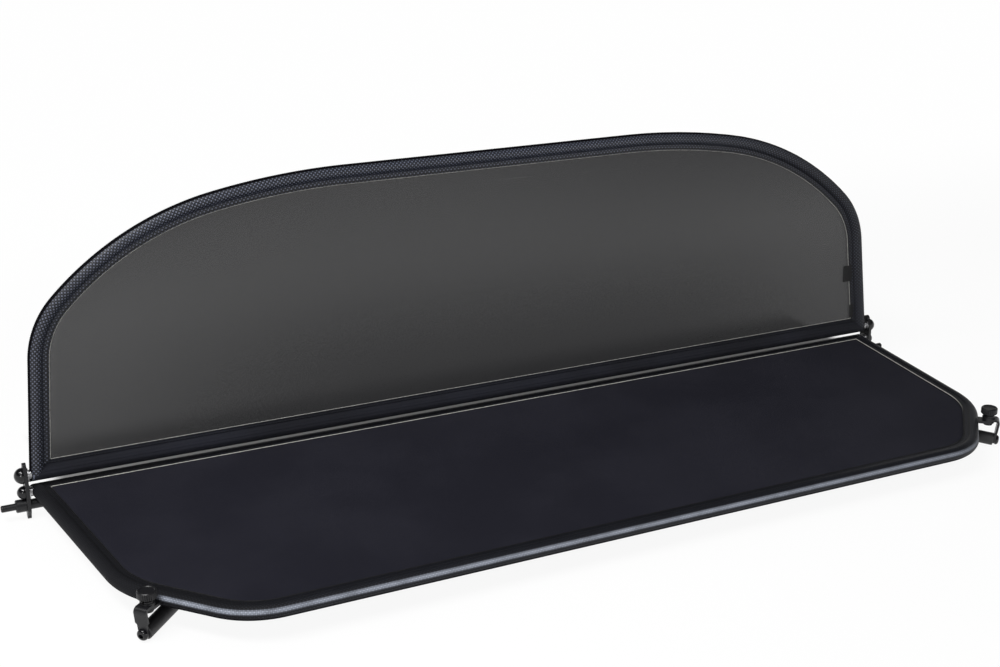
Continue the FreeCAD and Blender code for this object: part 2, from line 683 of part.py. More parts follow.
def make_hinge_plate(side):
    """Flat steel plate with a rounded tongue at each end and three holes."""
    body = new_body("hinge_plate_" + SIDE_NAMES[side])
    sketch = new_sketch(body, "YZ_Plane")
    half = "dims.plate_width / 2"
    tongue = "dims.tongue_width / 2"
    foot = "-dims.stand_height"
    corners = [
        (half, "-(dims.stand_height - dims.taper_height)"),
        (half, "dims.plate_top - dims.taper_height"),
        (tongue, "dims.plate_top - %s" % tongue),
        ("0", "dims.plate_top", tongue, 1),
        ("-" + tongue, "dims.plate_top - %s" % tongue, tongue, 1),
        ("-" + half, "dims.plate_top - dims.taper_height"),
        ("-" + half, "-(dims.stand_height - dims.taper_height)"),
        ("-" + tongue, "%s + %s" % (foot, tongue)),
        ("0", foot, tongue, 1),
        (tongue, "%s + %s" % (foot, tongue), tongue, 1),
    ]
    draw_profile(sketch, corners)
    for height, radius in (("dims.pivot_rise", PLAIN_HOLE_RADIUS), ("0", PLAIN_HOLE_RADIUS),
                           ("-dims.pin_drop", "%s + dims.joint_gap" % GUIDE_RADIUS)):
        draw_circle(sketch, "0", height, "2 * (%s)" % radius)
    plate = pad(body, sketch, "dims.plate_thickness")
    shoulder = size("dims.plate_width / 2")
    round_edges(body, plate, "dims.tongue_width / 2",
                lambda middle, along: abs(along.x) > 0.9 and abs(abs(middle.y) - shoulder) < 0.01)
    inner = size(PLATE_INNER) if side == RIGHT else -size(PLATE_OUTER)
    finish(body, cover_frame.multiply(FreeCAD.Placement(X_AXIS * inner, FreeCAD.Rotation())))


def make_plug(label, side, frame):
    """Threaded plug welded into the corner of a tube frame."""
    low = "%s - dims.plug_length" % PLUG_END
    corners = ring_section(THREAD_RADIUS, PLUG_RADIUS, low, PLUG_END)
    piece = turned_piece("%s_%s" % (label, SIDE_NAMES[side]), corners)
    finish(piece, frame)


def make_spacer(label, side, frame):
    """Washer between a plug's end and the hinge plate."""
    low = "%s + dims.joint_gap" % PLUG_END
    high = "%s - dims.joint_gap" % PLATE_INNER
    corners = ring_section(PLAIN_HOLE_RADIUS, "dims.washer_diameter / 2", low, high)
    finish(turned_piece("%s_%s" % (label, SIDE_NAMES[side]), corners), frame)


def make_dome_screw(label, side, frame, head_diameter, head_height):
    """Screw with a tall dome head, drawn along Z from the middle plane."""
    seat = "(%s + dims.joint_gap)" % PLATE_OUTER
    tip = "(%s - dims.screw_length)" % seat
    chamfer = "dims.screw_diameter / 8"
    head = "%s / 2" % head_diameter
    rim = "%s / 5" % head_height
    # the dome's radius from its half width and its rise above the rim
    rise = "(%s * 4 / 5)" % head_height
    dome = "((%s)^2 + %s^2) / (2 * %s)" % (head, rise, rise)
    corners = [("0", tip), ("%s - %s" % (SHANK_RADIUS, chamfer), tip),
               (SHANK_RADIUS, "%s + %s" % (tip, chamfer)), (SHANK_RADIUS, seat),
               (head, seat), (head, "%s + %s" % (seat, rim)),
               ("0", "%s + %s" % (seat, head_height), dome, 1)]
    finish(turned_piece("%s_%s" % (label, SIDE_NAMES[side]), corners), frame)


# ---------------------------------------------------------------- locating pins

def make_locating_pin(side):
    """Collar, sprung pin, its guide tube, spring and end stop, all on the pin's axis."""
    name = SIDE_NAMES[side]
    frame = end_frame(side, -size("dims.pin_drop"))
    tube_end = "(%s - dims.guide_length)" % PLATE_INNER
    collar_end = "(%s + dims.joint_gap + dims.collar_length)" % PLATE_OUTER
    spigot_end = "(%s - dims.collar_spigot)" % PLATE_OUTER
    spigot = "(%s - dims.joint_gap)" % GUIDE_BORE_RADIUS
    edge = "dims.collar_diameter / 16"
    collar = "dims.collar_diameter / 2"
    seat = "(%s + dims.joint_gap)" % PLATE_OUTER

    finish(turned_piece("pin_tube_" + name,
                        ring_section(GUIDE_BORE_RADIUS, GUIDE_RADIUS, tube_end, PLATE_OUTER)), frame)

    finish(turned_piece("pin_collar_" + name, [
        (COLLAR_BORE_RADIUS, spigot_end), (spigot, spigot_end), (spigot, seat), (collar, seat),
        (collar, "%s - %s" % (collar_end, edge)), ("%s - %s" % (collar, edge), collar_end),
        (COLLAR_BORE_RADIUS, collar_end)]), frame)

    tip = "(%s + dims.pin_reach)" % collar_end
    shoulder = "(%s - dims.joint_gap)" % spigot_end
    behind = "(%s - dims.pin_shoulder_length)" % shoulder
    tail = "(%s - dims.pin_tail_length)" % behind
    nose = "dims.pin_diameter / 5"
    end_radius = "dims.pin_end_diameter / 2"
    land = "(%s + 3 * dims.joint_gap)" % collar_end
    tail_radius = "dims.pin_tail_diameter / 2"
    finish(turned_piece("locating_pin_" + name, [
        ("0", tail), (tail_radius, tail), (tail_radius, behind),
        ("%s - dims.joint_gap" % GUIDE_BORE_RADIUS, behind),
        ("%s - dims.joint_gap" % GUIDE_BORE_RADIUS, shoulder), (PIN_RADIUS, shoulder),
        (PIN_RADIUS, land), (end_radius, land), (end_radius, "%s - %s" % (tip, nose)),
        ("%s - %s" % (end_radius, nose), tip, nose, 1), ("0", tip)]), frame)

    stop = "(%s + dims.stop_length)" % tube_end
    finish(turned_piece("pin_stop_" + name, [
        ("0", tube_end), (spigot, tube_end), (spigot, stop), ("0", stop)]), frame)

    spring = new_body("pin_spring_" + name)
    coil_radius = "(%s - dims.joint_gap * 3 - dims.spring_wire / 2)" % GUIDE_BORE_RADIUS
    sketch = new_sketch(spring, "XZ_Plane")
    first = "(%s + dims.joint_gap + dims.spring_wire / 2)" % stop
    draw_circle(sketch, coil_radius, first, "dims.spring_wire")
    coil = spring.newObject("PartDesign::AdditiveHelix", "coil")
    coil.Profile = sketch
    coil.ReferenceAxis = (sketch, ["V_Axis"])
    coil.Mode = "height-turns-angle"
    bind(coil, Turns="dims.spring_turns",
         Height="%s - %s - 2 * dims.joint_gap - dims.spring_wire" % (behind, stop))
    finish(spring, frame)


# ---------------------------------------------------------------- corner hooks

def make_clamp_lug(side):
    """Lug welded to the chamfered edge, with a threaded boss under it."""
    body = new_body("clamp_lug_" + SIDE_NAMES[side])
    sketch = new_sketch(body, "XY_Plane")
    half = "dims.lug_width / 2"
    draw_profile(sketch, [("-dims.lug_reach", "-" + half), ("0", "-" + half),
                          (half, "0", half, 1), ("0", half, half, 1), ("-dims.lug_reach", half)])
    sketch.AttachmentOffset = FreeCAD.Placement(Z_AXIS * size(LUG_UNDERSIDE), FreeCAD.Rotation())
    pad(body, sketch, "dims.lug_thickness")
    boss = new_sketch(body, "XY_Plane")
    boss.AttachmentOffset = FreeCAD.Placement(Z_AXIS * size(BOSS_FOOT), FreeCAD.Rotation())
    draw_circle(boss, "0", "0", "dims.boss_diameter")
    pad(body, boss, "dims.boss_height + dims.lug_thickness / 2")
    thread = new_sketch(body, "XY_Plane")
    draw_circle(thread, "0", "0", "2 * %s" % THREAD_RADIUS)
    pocket_through(body, thread)
    saddle = new_sketch(body, "XZ_Plane")
    draw_circle(saddle, "-dims.lug_reach", "0", "dims.tube_diameter")
    pocket_through(body, saddle)
    finish(body, chamfer_frame(side))


def make_hook_strap(side):
    """Bent strap: a flat arm under the thumb screw, a bend, and a leg square to the jaw."""
    body = new_body("hook_strap_" + SIDE_NAMES[side])
    sketch = new_sketch(body, "XZ_Plane")
    under = "(%s + dims.joint_gap)" % LUG_TOP
    half = "dims.strap_thickness / 2"
    slope = "tan(dims.jaw_rise)"
    end = "dims.strap_width / 2"
    foot_end = "dims.leg_end_width / 2"

    def leg_x(sign, level):
        """Distance out to the leg's outer or inner face at a level."""
        face = "(dims.leg_reach + (%s) * %s / cos(dims.jaw_rise))" % (sign, half)
        return "(%s + (%s - %s) * %s)" % (face, level, BOLT_RISE, slope)

    foot_x = "(dims.leg_reach + (%s) * %s * cos(dims.jaw_rise) - %s * sin(dims.jaw_rise))"
    foot_z = "(%s - (%s) * %s * sin(dims.jaw_rise) - %s * cos(dims.jaw_rise))"
    corners = [("-" + end, under), (leg_x("-1", under), under),
               (foot_x % ("-1", half, foot_end), foot_z % (BOLT_RISE, "-1", half, foot_end)),
               (foot_x % ("1", half, foot_end), foot_z % (BOLT_RISE, "1", half, foot_end)),
               (leg_x("1", STRAP_TOP), STRAP_TOP), ("-" + end, STRAP_TOP)]
    draw_profile(sketch, corners)
    strap = pad(body, sketch, "dims.strap_width", centred=True)

    across = lambda along: abs(along.y) > 0.9
    outside = V(size(leg_x("1", STRAP_TOP)), 0, size(STRAP_TOP))
    inside = V(size(leg_x("-1", under)), 0, size(under))
    outer = round_edges(body, strap, "dims.strap_bend + dims.strap_thickness",
                        lambda middle, along: across(along) and middle.distanceToPoint(outside) < 0.1)
    inner = round_edges(body, outer, "dims.strap_bend",
                        lambda middle, along: across(along) and middle.distanceToPoint(inside) < 0.1)
    arm_end = -size(end)
    arm = round_edges(body, inner, "dims.strap_width / 2 - dims.joint_gap",
                      lambda middle, along: abs(along.z) > 0.9 and abs(middle.x - arm_end) < 0.1)
    shoulders = narrow_leg(body)
    leg_foot = size(foot_z % (BOLT_RISE, "0", half, foot_end))
    foot = round_edges(
        body, shoulders, "dims.leg_end_width / 2 - dims.joint_gap",
        lambda middle, along: abs(along.x) > 0.9
        and abs(middle.z - leg_foot) < size("dims.strap_thickness") / 3)
    assert len(arm.Base[1]) == len(foot.Base[1]) == 2

    hole = new_sketch(body, "XY_Plane")
    draw_circle(hole, "0", "0", "2 * %s" % PLAIN_HOLE_RADIUS)
    pocket_through(body, hole)
    document.recompute()
    finish(drill_leg(body), chamfer_frame(side))


def leg_sketch(body):
    """Sketch on the sloping leg's middle plane, origin at the jaw bolt, +X across, +Y up the leg."""
    sketch = new_sketch(body, "YZ_Plane")
    sketch.AttachmentOffset = FreeCAD.Placement(V(0, size(BOLT_RISE), size("dims.leg_reach")),
                                                rotation(X_AXIS, size("dims.jaw_rise")))
    return sketch


def narrow_leg(body):
    """Trim both sides of the leg's lower end, up to shoulders sloped at 45 degrees."""
    sketch = leg_sketch(body)
    for sign in ("", "-"):
        inside = "%s(dims.leg_end_width / 2)" % sign
        outside = "%s(dims.leg_end_width / 2 + dims.strap_width)" % sign
        draw_profile(sketch, [(inside, "-dims.strap_width"), (outside, "-dims.strap_width"),
                              (outside, "dims.leg_shoulder_rise + dims.strap_width"),
                              (inside, "dims.leg_shoulder_rise")])
    trim = body.newObject("PartDesign::Pocket", "shoulders")
    trim.Profile = sketch
    trim.SideType = "Symmetric"
    return bind(trim, Length="3 * dims.strap_thickness")


def drill_leg(body):
    """Hole for the jaw bolt, square to the sloping leg."""
    tilted = leg_sketch(body)
    draw_circle(tilted, "0", "0", "2 * %s" % PLAIN_HOLE_RADIUS)
    bore = body.newObject("PartDesign::Pocket", "bolt_hole")
    bore.Profile = tilted
    bore.SideType = "Symmetric"
    bind(bore, Length="3 * dims.strap_thickness")
    return body


def make_jaw(side):
    """Steel rod in a rubber sleeve, held to the leg by a button-head bolt."""
    name = SIDE_NAMES[side]
    frame = jaw_frame(side)
    face = "-(dims.strap_thickness / 2 + dims.joint_gap)"
    rod_end = "(%s - dims.jaw_length + dims.rubber_wall_end)" % face
    thread_end = "(%s - dims.rod_thread_depth)" % face
    finish(turned_piece("jaw_rod_" + name, [
        ("0", rod_end), (ROD_RADIUS, rod_end), (ROD_RADIUS, face), (THREAD_RADIUS, face),
        (THREAD_RADIUS, thread_end), ("0", "%s - %s" % (thread_end, THREAD_RADIUS))]), frame)

    inner_end = "(%s - dims.jaw_length)" % face
    crown = "dims.jaw_diameter / 4"
    bore = "(%s + dims.joint_gap)" % ROD_RADIUS
    finish(turned_piece("jaw_rubber_" + name, [
        ("0", inner_end), ("%s - %s" % (JAW_RADIUS, crown), inner_end),
        (JAW_RADIUS, "%s + %s" % (inner_end, crown), crown, 1),
        (JAW_RADIUS, "%s - dims.jaw_edge" % face), ("%s - dims.jaw_edge" % JAW_RADIUS, face),
        (bore, face), (bore, "%s - dims.joint_gap" % rod_end),
        ("0", "%s - dims.joint_gap" % rod_end)]), frame)

    bolt = new_body("jaw_bolt_" + name)
    seat = "(dims.strap_thickness / 2 + dims.joint_gap)"
    tip = "(%s - dims.bolt_length)" % seat
    head = "dims.bolt_head_diameter / 2"
    flat = "(dims.bolt_head_diameter / 4)"
    rim = "(dims.bolt_head_height / 5)"
    rise = "(dims.bolt_head_height - %s)" % rim
    # the shoulder's arc meets the flat top where the two reach the same height
    crown = "(((%s) - %s)^2 + %s^2) / (2 * %s)" % (head, flat, rise, rise)
    turn_about_z(bolt, [
        ("0", tip), (SHANK_RADIUS, tip), (SHANK_RADIUS, seat), (head, seat),
        (head, "%s + %s" % (seat, rim)), (flat, "%s + dims.bolt_head_height" % seat, crown, 1),
        ("0", "%s + dims.bolt_head_height" % seat)])
    socket = new_sketch(bolt, "XY_Plane")
    socket.AttachmentOffset = FreeCAD.Placement(
        Z_AXIS * size("%s + dims.bolt_head_height" % seat), FreeCAD.Rotation())
    draw_hexagon(socket, "dims.socket_width")
    recess = bolt.newObject("PartDesign::Pocket", "socket")
    recess.Profile = socket
    bind(recess, Length="dims.socket_depth")
    finish(bolt, frame)


def make_thumb_screw(side):
    """Knurled head with a dished top, a neck and a stud down through strap, lug and boss."""
    body = new_body("thumb_screw_" + SIDE_NAMES[side])
    tip = "(%s - dims.stud_tip)" % BOSS_FOOT
    point = "dims.screw_diameter / 5"
    head = "dims.knob_diameter / 2"
    neck = "dims.knob_neck_diameter / 2"
    edge = "dims.knob_height / 8"
    turn_about_z(body, [
        ("0", tip), ("%s - %s" % (SHANK_RADIUS, point), tip), (SHANK_RADIUS, "%s + %s" % (tip, point)),
        (SHANK_RADIUS, NECK_BASE), (neck, NECK_BASE), (neck, KNOB_BASE),
        ("%s - %s" % (head, edge), KNOB_BASE), (head, "%s + %s" % (KNOB_BASE, edge)),
        (head, "%s - %s" % (KNOB_TOP, edge)), ("%s - %s" % (head, edge), KNOB_TOP),
        ("%s - 2 * %s" % (head, edge), KNOB_TOP),
        ("%s - 2 * %s - dims.knob_dish" % (head, edge), "%s - dims.knob_dish" % KNOB_TOP),
        ("0", "%s - dims.knob_dish" % KNOB_TOP)])
    groove = new_sketch(body, "XY_Plane")
    draw_profile(groove, [(head + " - dims.knurl_depth", "0"), (head + " + dims.knurl_depth", "-2 * dims.knurl_depth"),
                          (head + " + dims.knurl_depth", "2 * dims.knurl_depth")])
    cut = body.newObject("PartDesign::Pocket", "groove")
    cut.Profile = groove
    cut.Reversed = True
    bind(cut, Length=KNOB_TOP)
    document.recompute()
    knurl = body.newObject("PartDesign::PolarPattern", "knurl")
    knurl.Originals = [cut]
    knurl.Axis = (groove, ["N_Axis"])
    knurl.Angle = 360
    bind(knurl, Occurrences="dims.knurl_count")
    body.Tip = knurl
    finish(body, chamfer_frame(side))


def make_screw_washers(side):
    """Flat washer on the strap and a split spring washer under the thumb screw."""
    name = SIDE_NAMES[side]
    frame = chamfer_frame(side)
    top = "(%s + dims.flat_washer_thickness)" % FLAT_WASHER_BASE
    finish(turned_piece("flat_washer_" + name, ring_section(
        PLAIN_HOLE_RADIUS, "dims.flat_washer_diameter / 2", FLAT_WASHER_BASE, top)), frame)

    body = new_body("spring_washer_" + name)
    high = "(%s + dims.spring_washer_thickness)" % SPRING_WASHER_BASE
    turn_about_z(body, ring_section(PLAIN_HOLE_RADIUS, "dims.spring_washer_diameter / 2",
                                    SPRING_WASHER_BASE, high))
    split = new_sketch(body, "XY_Plane")
    half = "dims.spring_washer_gap / 2"
    draw_profile(split, [("0", "-" + half), ("dims.spring_washer_diameter", "-" + half),
                         ("dims.spring_washer_diameter", half), ("0", half)])
    pocket_through(body, split)
    finish(body, frame)


def check_and_export():
    """Stop on any failed object, then write each sub-part's solid."""
    document.recompute()
    for item in document.Objects:
        if "Invalid" in item.State or "Error" in item.State:
            raise RuntimeError("failed: %s (%s) %s" % (item.Name, item.Label, item.State))
    for piece in finished:
        if piece.Shape.isNull() or not piece.Shape.isValid() or not piece.Shape.Solids:
            raise RuntimeError("no valid solid: " + piece.Label)
    os.makedirs("parts", exist_ok=True)
    for piece in finished:
        piece.Shape.exportStep("parts/%s.step" % piece.Label)
        box = piece.Shape.BoundBox
        print("%-24s %9.1f mm3  %6.1f x %6.1f x %5.1f" % (piece.Label, piece.Shape.Volume,
                                                         box.XLength, box.YLength, box.ZLength))


cover_path = cover_outline()
screen_path = screen_outline()
across_path = rotation(Y_AXIS, 90)
make_cover_cloth(cover_path, V(0, -size("dims.cover_front_depth"), 0), across_path)
make_screen_cloth(screen_path, V(), across_path)
make_edge_tabs()
for hand in (LEFT, RIGHT):
    at_cover = end_frame(hand, 0)
    at_pivot = end_frame(hand, size("dims.pivot_rise"))
    make_hinge_plate(hand)
    make_plug("cover_plug", hand, at_cover)
    make_spacer("cover_washer", hand, at_cover)
    make_dome_screw("cover_screw", hand, at_cover, "dims.cover_head_diameter", "dims.cover_head_height")
    make_plug("screen_plug", hand, at_pivot)
    make_spacer("pivot_washer", hand, at_pivot)
    make_dome_screw("pivot_screw", hand, at_pivot, "dims.pivot_head_diameter", "dims.pivot_head_height")
    make_locating_pin(hand)
    make_clamp_lug(hand)
    make_hook_strap(hand)
    make_jaw(hand)
    make_thumb_screw(hand)
    make_screw_washers(hand)
check_and_export()
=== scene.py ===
import math

import bmesh
import bpy
import numpy as np
from mathutils import Matrix, Vector


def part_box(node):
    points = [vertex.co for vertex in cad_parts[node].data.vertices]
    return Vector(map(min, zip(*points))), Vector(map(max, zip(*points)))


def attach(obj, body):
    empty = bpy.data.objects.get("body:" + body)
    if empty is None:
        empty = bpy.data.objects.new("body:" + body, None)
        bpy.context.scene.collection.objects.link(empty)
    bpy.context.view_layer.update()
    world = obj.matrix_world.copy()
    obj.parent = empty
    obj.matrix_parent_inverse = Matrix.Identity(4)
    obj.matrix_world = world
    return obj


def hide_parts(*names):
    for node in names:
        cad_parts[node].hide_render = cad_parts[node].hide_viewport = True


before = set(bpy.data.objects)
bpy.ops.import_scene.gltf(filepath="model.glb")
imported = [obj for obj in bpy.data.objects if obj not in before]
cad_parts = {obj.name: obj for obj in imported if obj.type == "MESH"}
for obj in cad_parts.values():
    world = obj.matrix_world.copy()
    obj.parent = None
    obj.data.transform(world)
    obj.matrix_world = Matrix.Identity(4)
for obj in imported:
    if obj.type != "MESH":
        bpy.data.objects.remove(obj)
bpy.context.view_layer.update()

# Folding wind deflector: a gauze screen and a cloth cover, each stretched on a bent tube inside a
# sewn sleeve, with black hinge hardware and corner hooks. Lengths are in metres; the sewing sizes
# that a maker would give in millimetres are written as N * MM.

MM = 0.001

# ------------------------------------------------------------------ sizes; the frame gives two levels

HALF_WIDTH = 500 * MM
COVER_CORNERS = [(387.5 * MM, -326 * MM), (469.3 * MM, -234.1 * MM), (HALF_WIDTH, 0.0)]
COVER_BENDS = [69.2 * MM, 98.9 * MM, 0.0]
SIDE_TAPER = math.radians(5.4)
SIDE_LENGTH = 113.6 * MM
CORNER_BEND, CORNER_SWEEP = 87.4 * MM, math.radians(40.1)
SHOULDER_BEND, SHOULDER_SWEEP = 306.8 * MM, math.radians(33.9)
CROWN_BEND = 758 * MM
FOOT_TURN = math.pi / 2 + SIDE_TAPER
SCREEN_LEAN = math.radians(3.35)

SLEEVE_RADIUS = 7 * MM
SLEEVE_BORE = 6.2 * MM
COVER_REACH, COVER_FLANGE_HEIGHT, COVER_FLANGE = 9 * MM, 5 * MM, 1.4 * MM
SCREEN_REACH, SCREEN_FLANGE = 13 * MM, 1.6 * MM
BASE_REACH = 12.3 * MM
COVER_CELL, BASKET_CELL = 1.6, 2.1      # weave, in millimetres
PAINTED_HIGHLIGHT_LINE = 17.1                    # crosswise run of the painted highlight along the cover's front, in millimetres
FRONT_EDGE = (-273 * MM, -258 * MM)     # where that front ends, from the hinge line

tube_low, tube_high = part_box("cover_frame_tube")
COVER_LEVEL = (tube_low.z + tube_high.z) / 2
plug_low, plug_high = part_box("screen_plug_right")
HINGE = Vector((0, (plug_low.y + plug_high.y) / 2, (plug_low.z + plug_high.z) / 2))

COVER_PLACE = Matrix.Translation((0, HINGE.y, COVER_LEVEL))
SCREEN_PLACE = Matrix.Translation(HINGE) @ Matrix((
    (1, 0, 0, 0),
    (0, math.sin(SCREEN_LEAN), -math.cos(SCREEN_LEAN), 0),
    (0, math.cos(SCREEN_LEAN), math.sin(SCREEN_LEAN), 0),
    (0, 0, 0, 1)))


# ------------------------------------------------------------------ shader maths

def add_node(tree, kind, settings=None, sockets=None):
    """A node in a tree: its settings, then the values or links of its sockets."""
    made = tree.nodes.new(kind)
    for name, value in (settings or {}).items():
        setattr(made, name, value)
    for key, value in (sockets or {}).items():
        if isinstance(value, bpy.types.NodeSocket):
            tree.links.new(value, made.inputs[key])
        else:
            made.inputs[key].default_value = value
    return made


class Signal:
    """An output socket that takes part in sums and products."""

    def __init__(self, paint, socket):
        self.paint = paint
        self.socket = socket

    def maths(self, operation, *others):
        return self.paint.node("ShaderNodeMath", {"operation": operation},
                               dict(enumerate((self,) + others)))

    def __add__(self, other):
        return self.maths("ADD", other)

    def __sub__(self, other):
        return self.maths("SUBTRACT", other)

    def __rsub__(self, other):
        return self.paint.node("ShaderNodeMath", {"operation": "SUBTRACT"}, {0: other, 1: self})

    def __mul__(self, other):
        return self.maths("MULTIPLY", other)

    def __gt__(self, other):
        return self.maths("GREATER_THAN", other)

    def __mod__(self, other):
        return self.maths("FLOORED_MODULO", other)

    __radd__ = __add__
    __rmul__ = __mul__

    def floor(self):
        return self.maths("FLOOR")

    def fraction(self):
        return self.maths("FRACT")

    def wave(self):
        return self.maths("COSINE")

    def between(self, low, high):
        """0 below low, 1 above high, smooth in between."""
        return self.paint.node("ShaderNodeMapRange", {"interpolation_type": "SMOOTHSTEP"},
                               {"Value": self, "From Min": low, "From Max": high})


class Paint:
    """A material and its node tree."""

    def __init__(self, name, **constants):
        self.material = bpy.data.materials.new(name)
        self.material.use_nodes = True
        self.tree = self.material.node_tree
        self.shader = self.tree.nodes["Principled BSDF"]
        for socket, value in constants.items():
            self.shader.inputs[socket.replace("_", " ")].default_value = value

    def node(self, kind, settings=None, sockets=None, output=0):
        """One output of a new node."""
        plain = {key: value.socket if isinstance(value, Signal) else value
                 for key, value in (sockets or {}).items()}
        return Signal(self, add_node(self.tree, kind, settings, plain).outputs[output])

    def place(self):
        return self.node("ShaderNodeTexCoord", output="Object")

    def split(self, source):
        """The three coordinates of a place."""
        parts = add_node(self.tree, "ShaderNodeSeparateXYZ", None, {0: source.socket})
        return [Signal(self, output) for output in parts.outputs]

    def run(self):
        """Lengthwise and crosswise run on the cloth, in millimetres."""
        along, across, _ = self.split(self.node("ShaderNodeUVMap", {"uv_map": "run"}))
        return along * 1000.0, across * 1000.0

    def noise(self, scale, detail=3.0):
        return self.node("ShaderNodeTexNoise", None,
                         {"Vector": self.place(), "Scale": scale, "Detail": detail,
                          "Roughness": 0.55})

    def mix(self, share, first, second):
        """Colour between two colours."""
        return self.node("ShaderNodeMix", {"data_type": "RGBA"},
                         {0: share, 6: first, 7: second}, output=2)

    def bump(self, height, distance):
        return self.node("ShaderNodeBump", None,
                         {"Height": height, "Distance": distance, "Strength": 1.0})

    def feed(self, **signals):
        for name, value in signals.items():
            self.tree.links.new(value.socket, self.shader.inputs[name.replace("_", " ")])
        return self.material

    def under(self, share, other):
        """The material, with another shader mixed in by share."""
        body = Signal(self, self.shader.outputs[0])
        mixed = self.node("ShaderNodeMixShader", None, {0: share, 1: body, 2: other})
        self.tree.links.new(mixed.socket, self.tree.nodes["Material Output"].inputs[0])
        return self.material


def colour(red, green, blue):
    return (red, green, blue, 1.0)


def plain_weave(paint, cell):
    """Height of a plain weave of square cells, and a mask of the cells where the lengthwise thread
    is on top."""
    along, across = paint.run()
    along, across = along * (1 / cell), across * (1 / cell)
    over = (along.floor() + across.floor()) % 2.0
    along, across = along.fraction() - 0.5, across.fraction() - 0.5
    long_thread = (along * math.pi).wave() * (1.0 - across * across * 3.4)
    cross_thread = (across * math.pi).wave() * (1.0 - along * along * 3.4)
    height = over * long_thread + (1.0 - over) * cross_thread
    return height, over


def woven_paint(name, cell, dark, thread, light, depth, grooves, outer, gloss, painted_highlight=None,
                **constants):
    """Bound cloth: dark gaps, dark threads and lighter threads across them. grooves are the
    crosswise runs, in millimetres, of the seams' grooves, painted dark as painted shade. outer is
    the dark outermost line, painted shade along the sleeve's outer side: where it lies, and how far
    to each side it is black and begins to clear. The last colour, when given, is a painted
    highlight along the cover's front."""
    paint = Paint(name, **constants)
    height, over = plain_weave(paint, cell)
    across = paint.run()[1]
    cloudy = paint.noise(55.0)
    threads = paint.mix(over * 0.9, thread, light)
    sideways, forward, _ = paint.split(paint.place())
    if painted_highlight is None:
        # painted shade: the screen's sleeve is painted darker towards its right and its far left, and
        # rougher there
        shade_and_wear = sideways.between(0.1, 0.47) * 0.65 + (0.0 - sideways).between(0.38, 0.5) * 0.25
        threads = paint.mix(shade_and_wear, threads, dark)
    else:
        # painted shade: the cover's sleeve is painted darker along its left diagonal, and rougher there
        shade_and_wear = (0.0 - sideways).between(0.34, 0.42) * 0.6
        threads = paint.mix(shade_and_wear, threads, dark)
        # painted highlight: lighter, bluish threads, and the gaps between them, in a band along the
        # cover's front
        front = 1.0 - (forward - HINGE.y).between(*FRONT_EDGE)
        front = front * (1.0 - sideways.between(0.36, 0.44))
        painted_highlight_band = (1.0 - (across - PAINTED_HIGHLIGHT_LINE).maths("ABSOLUTE").between(0.2, 3.1)) * front
        painted_highlight_band = painted_highlight_band * (1.0 - sideways.between(0.15, 0.45) * 0.3)
        threads = paint.mix(painted_highlight_band, threads, paint.mix(over * 0.6, painted_highlight, light))
    shade = paint.mix(height.between(0.2, 0.7), dark, threads)
    if painted_highlight is not None:
        shade = paint.mix(painted_highlight_band * 0.5, shade, painted_highlight)
    fade_and_painted_light = paint.mix(cloudy.between(0.4, 0.75) * 0.3, shade, thread)
    # painted shade: the seams' grooves are painted dark
    for groove in grooves:
        fade_and_painted_light = paint.mix(1.0 - (across - groove).maths("ABSOLUTE").between(0.25, 0.75), fade_and_painted_light, dark)
    # painted shade: a dark outermost line along the sleeve's outer side, rougher there and mixed with a
    # matt dark shader at the end
    middle, black, clear = outer
    rim = 1.0 - (across - middle).maths("ABSOLUTE").between(black, clear)
    fade_and_painted_light = paint.mix(rim, fade_and_painted_light, dark)
    fuzz = paint.noise(2600.0, 2.0)
    relief = paint.bump(height + fuzz * 0.25, depth)
    rough = gloss - height * 0.08 + cloudy * 0.08 + shade_and_wear * 0.45 + rim * 0.45
    paint.feed(Base_Color=fade_and_painted_light, Roughness=rough, Normal=relief)
    return paint.under(rim * 0.85, paint.node("ShaderNodeBsdfDiffuse", None, {"Color": dark}))


def close_cloth_paint(name, tone, lifted, scale, **constants):
    """Matt close-woven cloth with faint slubs and a little lint."""
    paint = Paint(name, **constants)
    place = paint.place()
    warp = paint.node("ShaderNodeTexWave", {"bands_direction": "X", "wave_type": "BANDS"},
                      {"Vector": place, "Scale": scale, "Distortion": 0.6, "Detail": 1.0}, output=1)
    weft = paint.node("ShaderNodeTexWave", {"bands_direction": "Y", "wave_type": "BANDS"},
                      {"Vector": place, "Scale": scale, "Distortion": 0.6, "Detail": 1.0}, output=1)
    slub = paint.noise(420.0, 2.0)
    cloudy = paint.noise(9.0, 4.0)
    lint = paint.node("ShaderNodeTexVoronoi", None, {"Vector": place, "Scale": 26.0})
    specks = (1.0 - lint.between(0.012, 0.024)) * (paint.noise(33.0, 1.0) > 0.56)
    tint = paint.mix(cloudy.between(0.35, 0.7) * 0.6 + slub * 0.3, tone, lifted)
    speckled = paint.mix(specks * 0.75, tint, colour(0.16, 0.15, 0.14))
    relief = paint.bump(warp + weft + slub * 0.7, 0.00018)
    return paint.feed(Base_Color=speckled, Roughness=0.82 + cloudy * 0.12, Normal=relief)


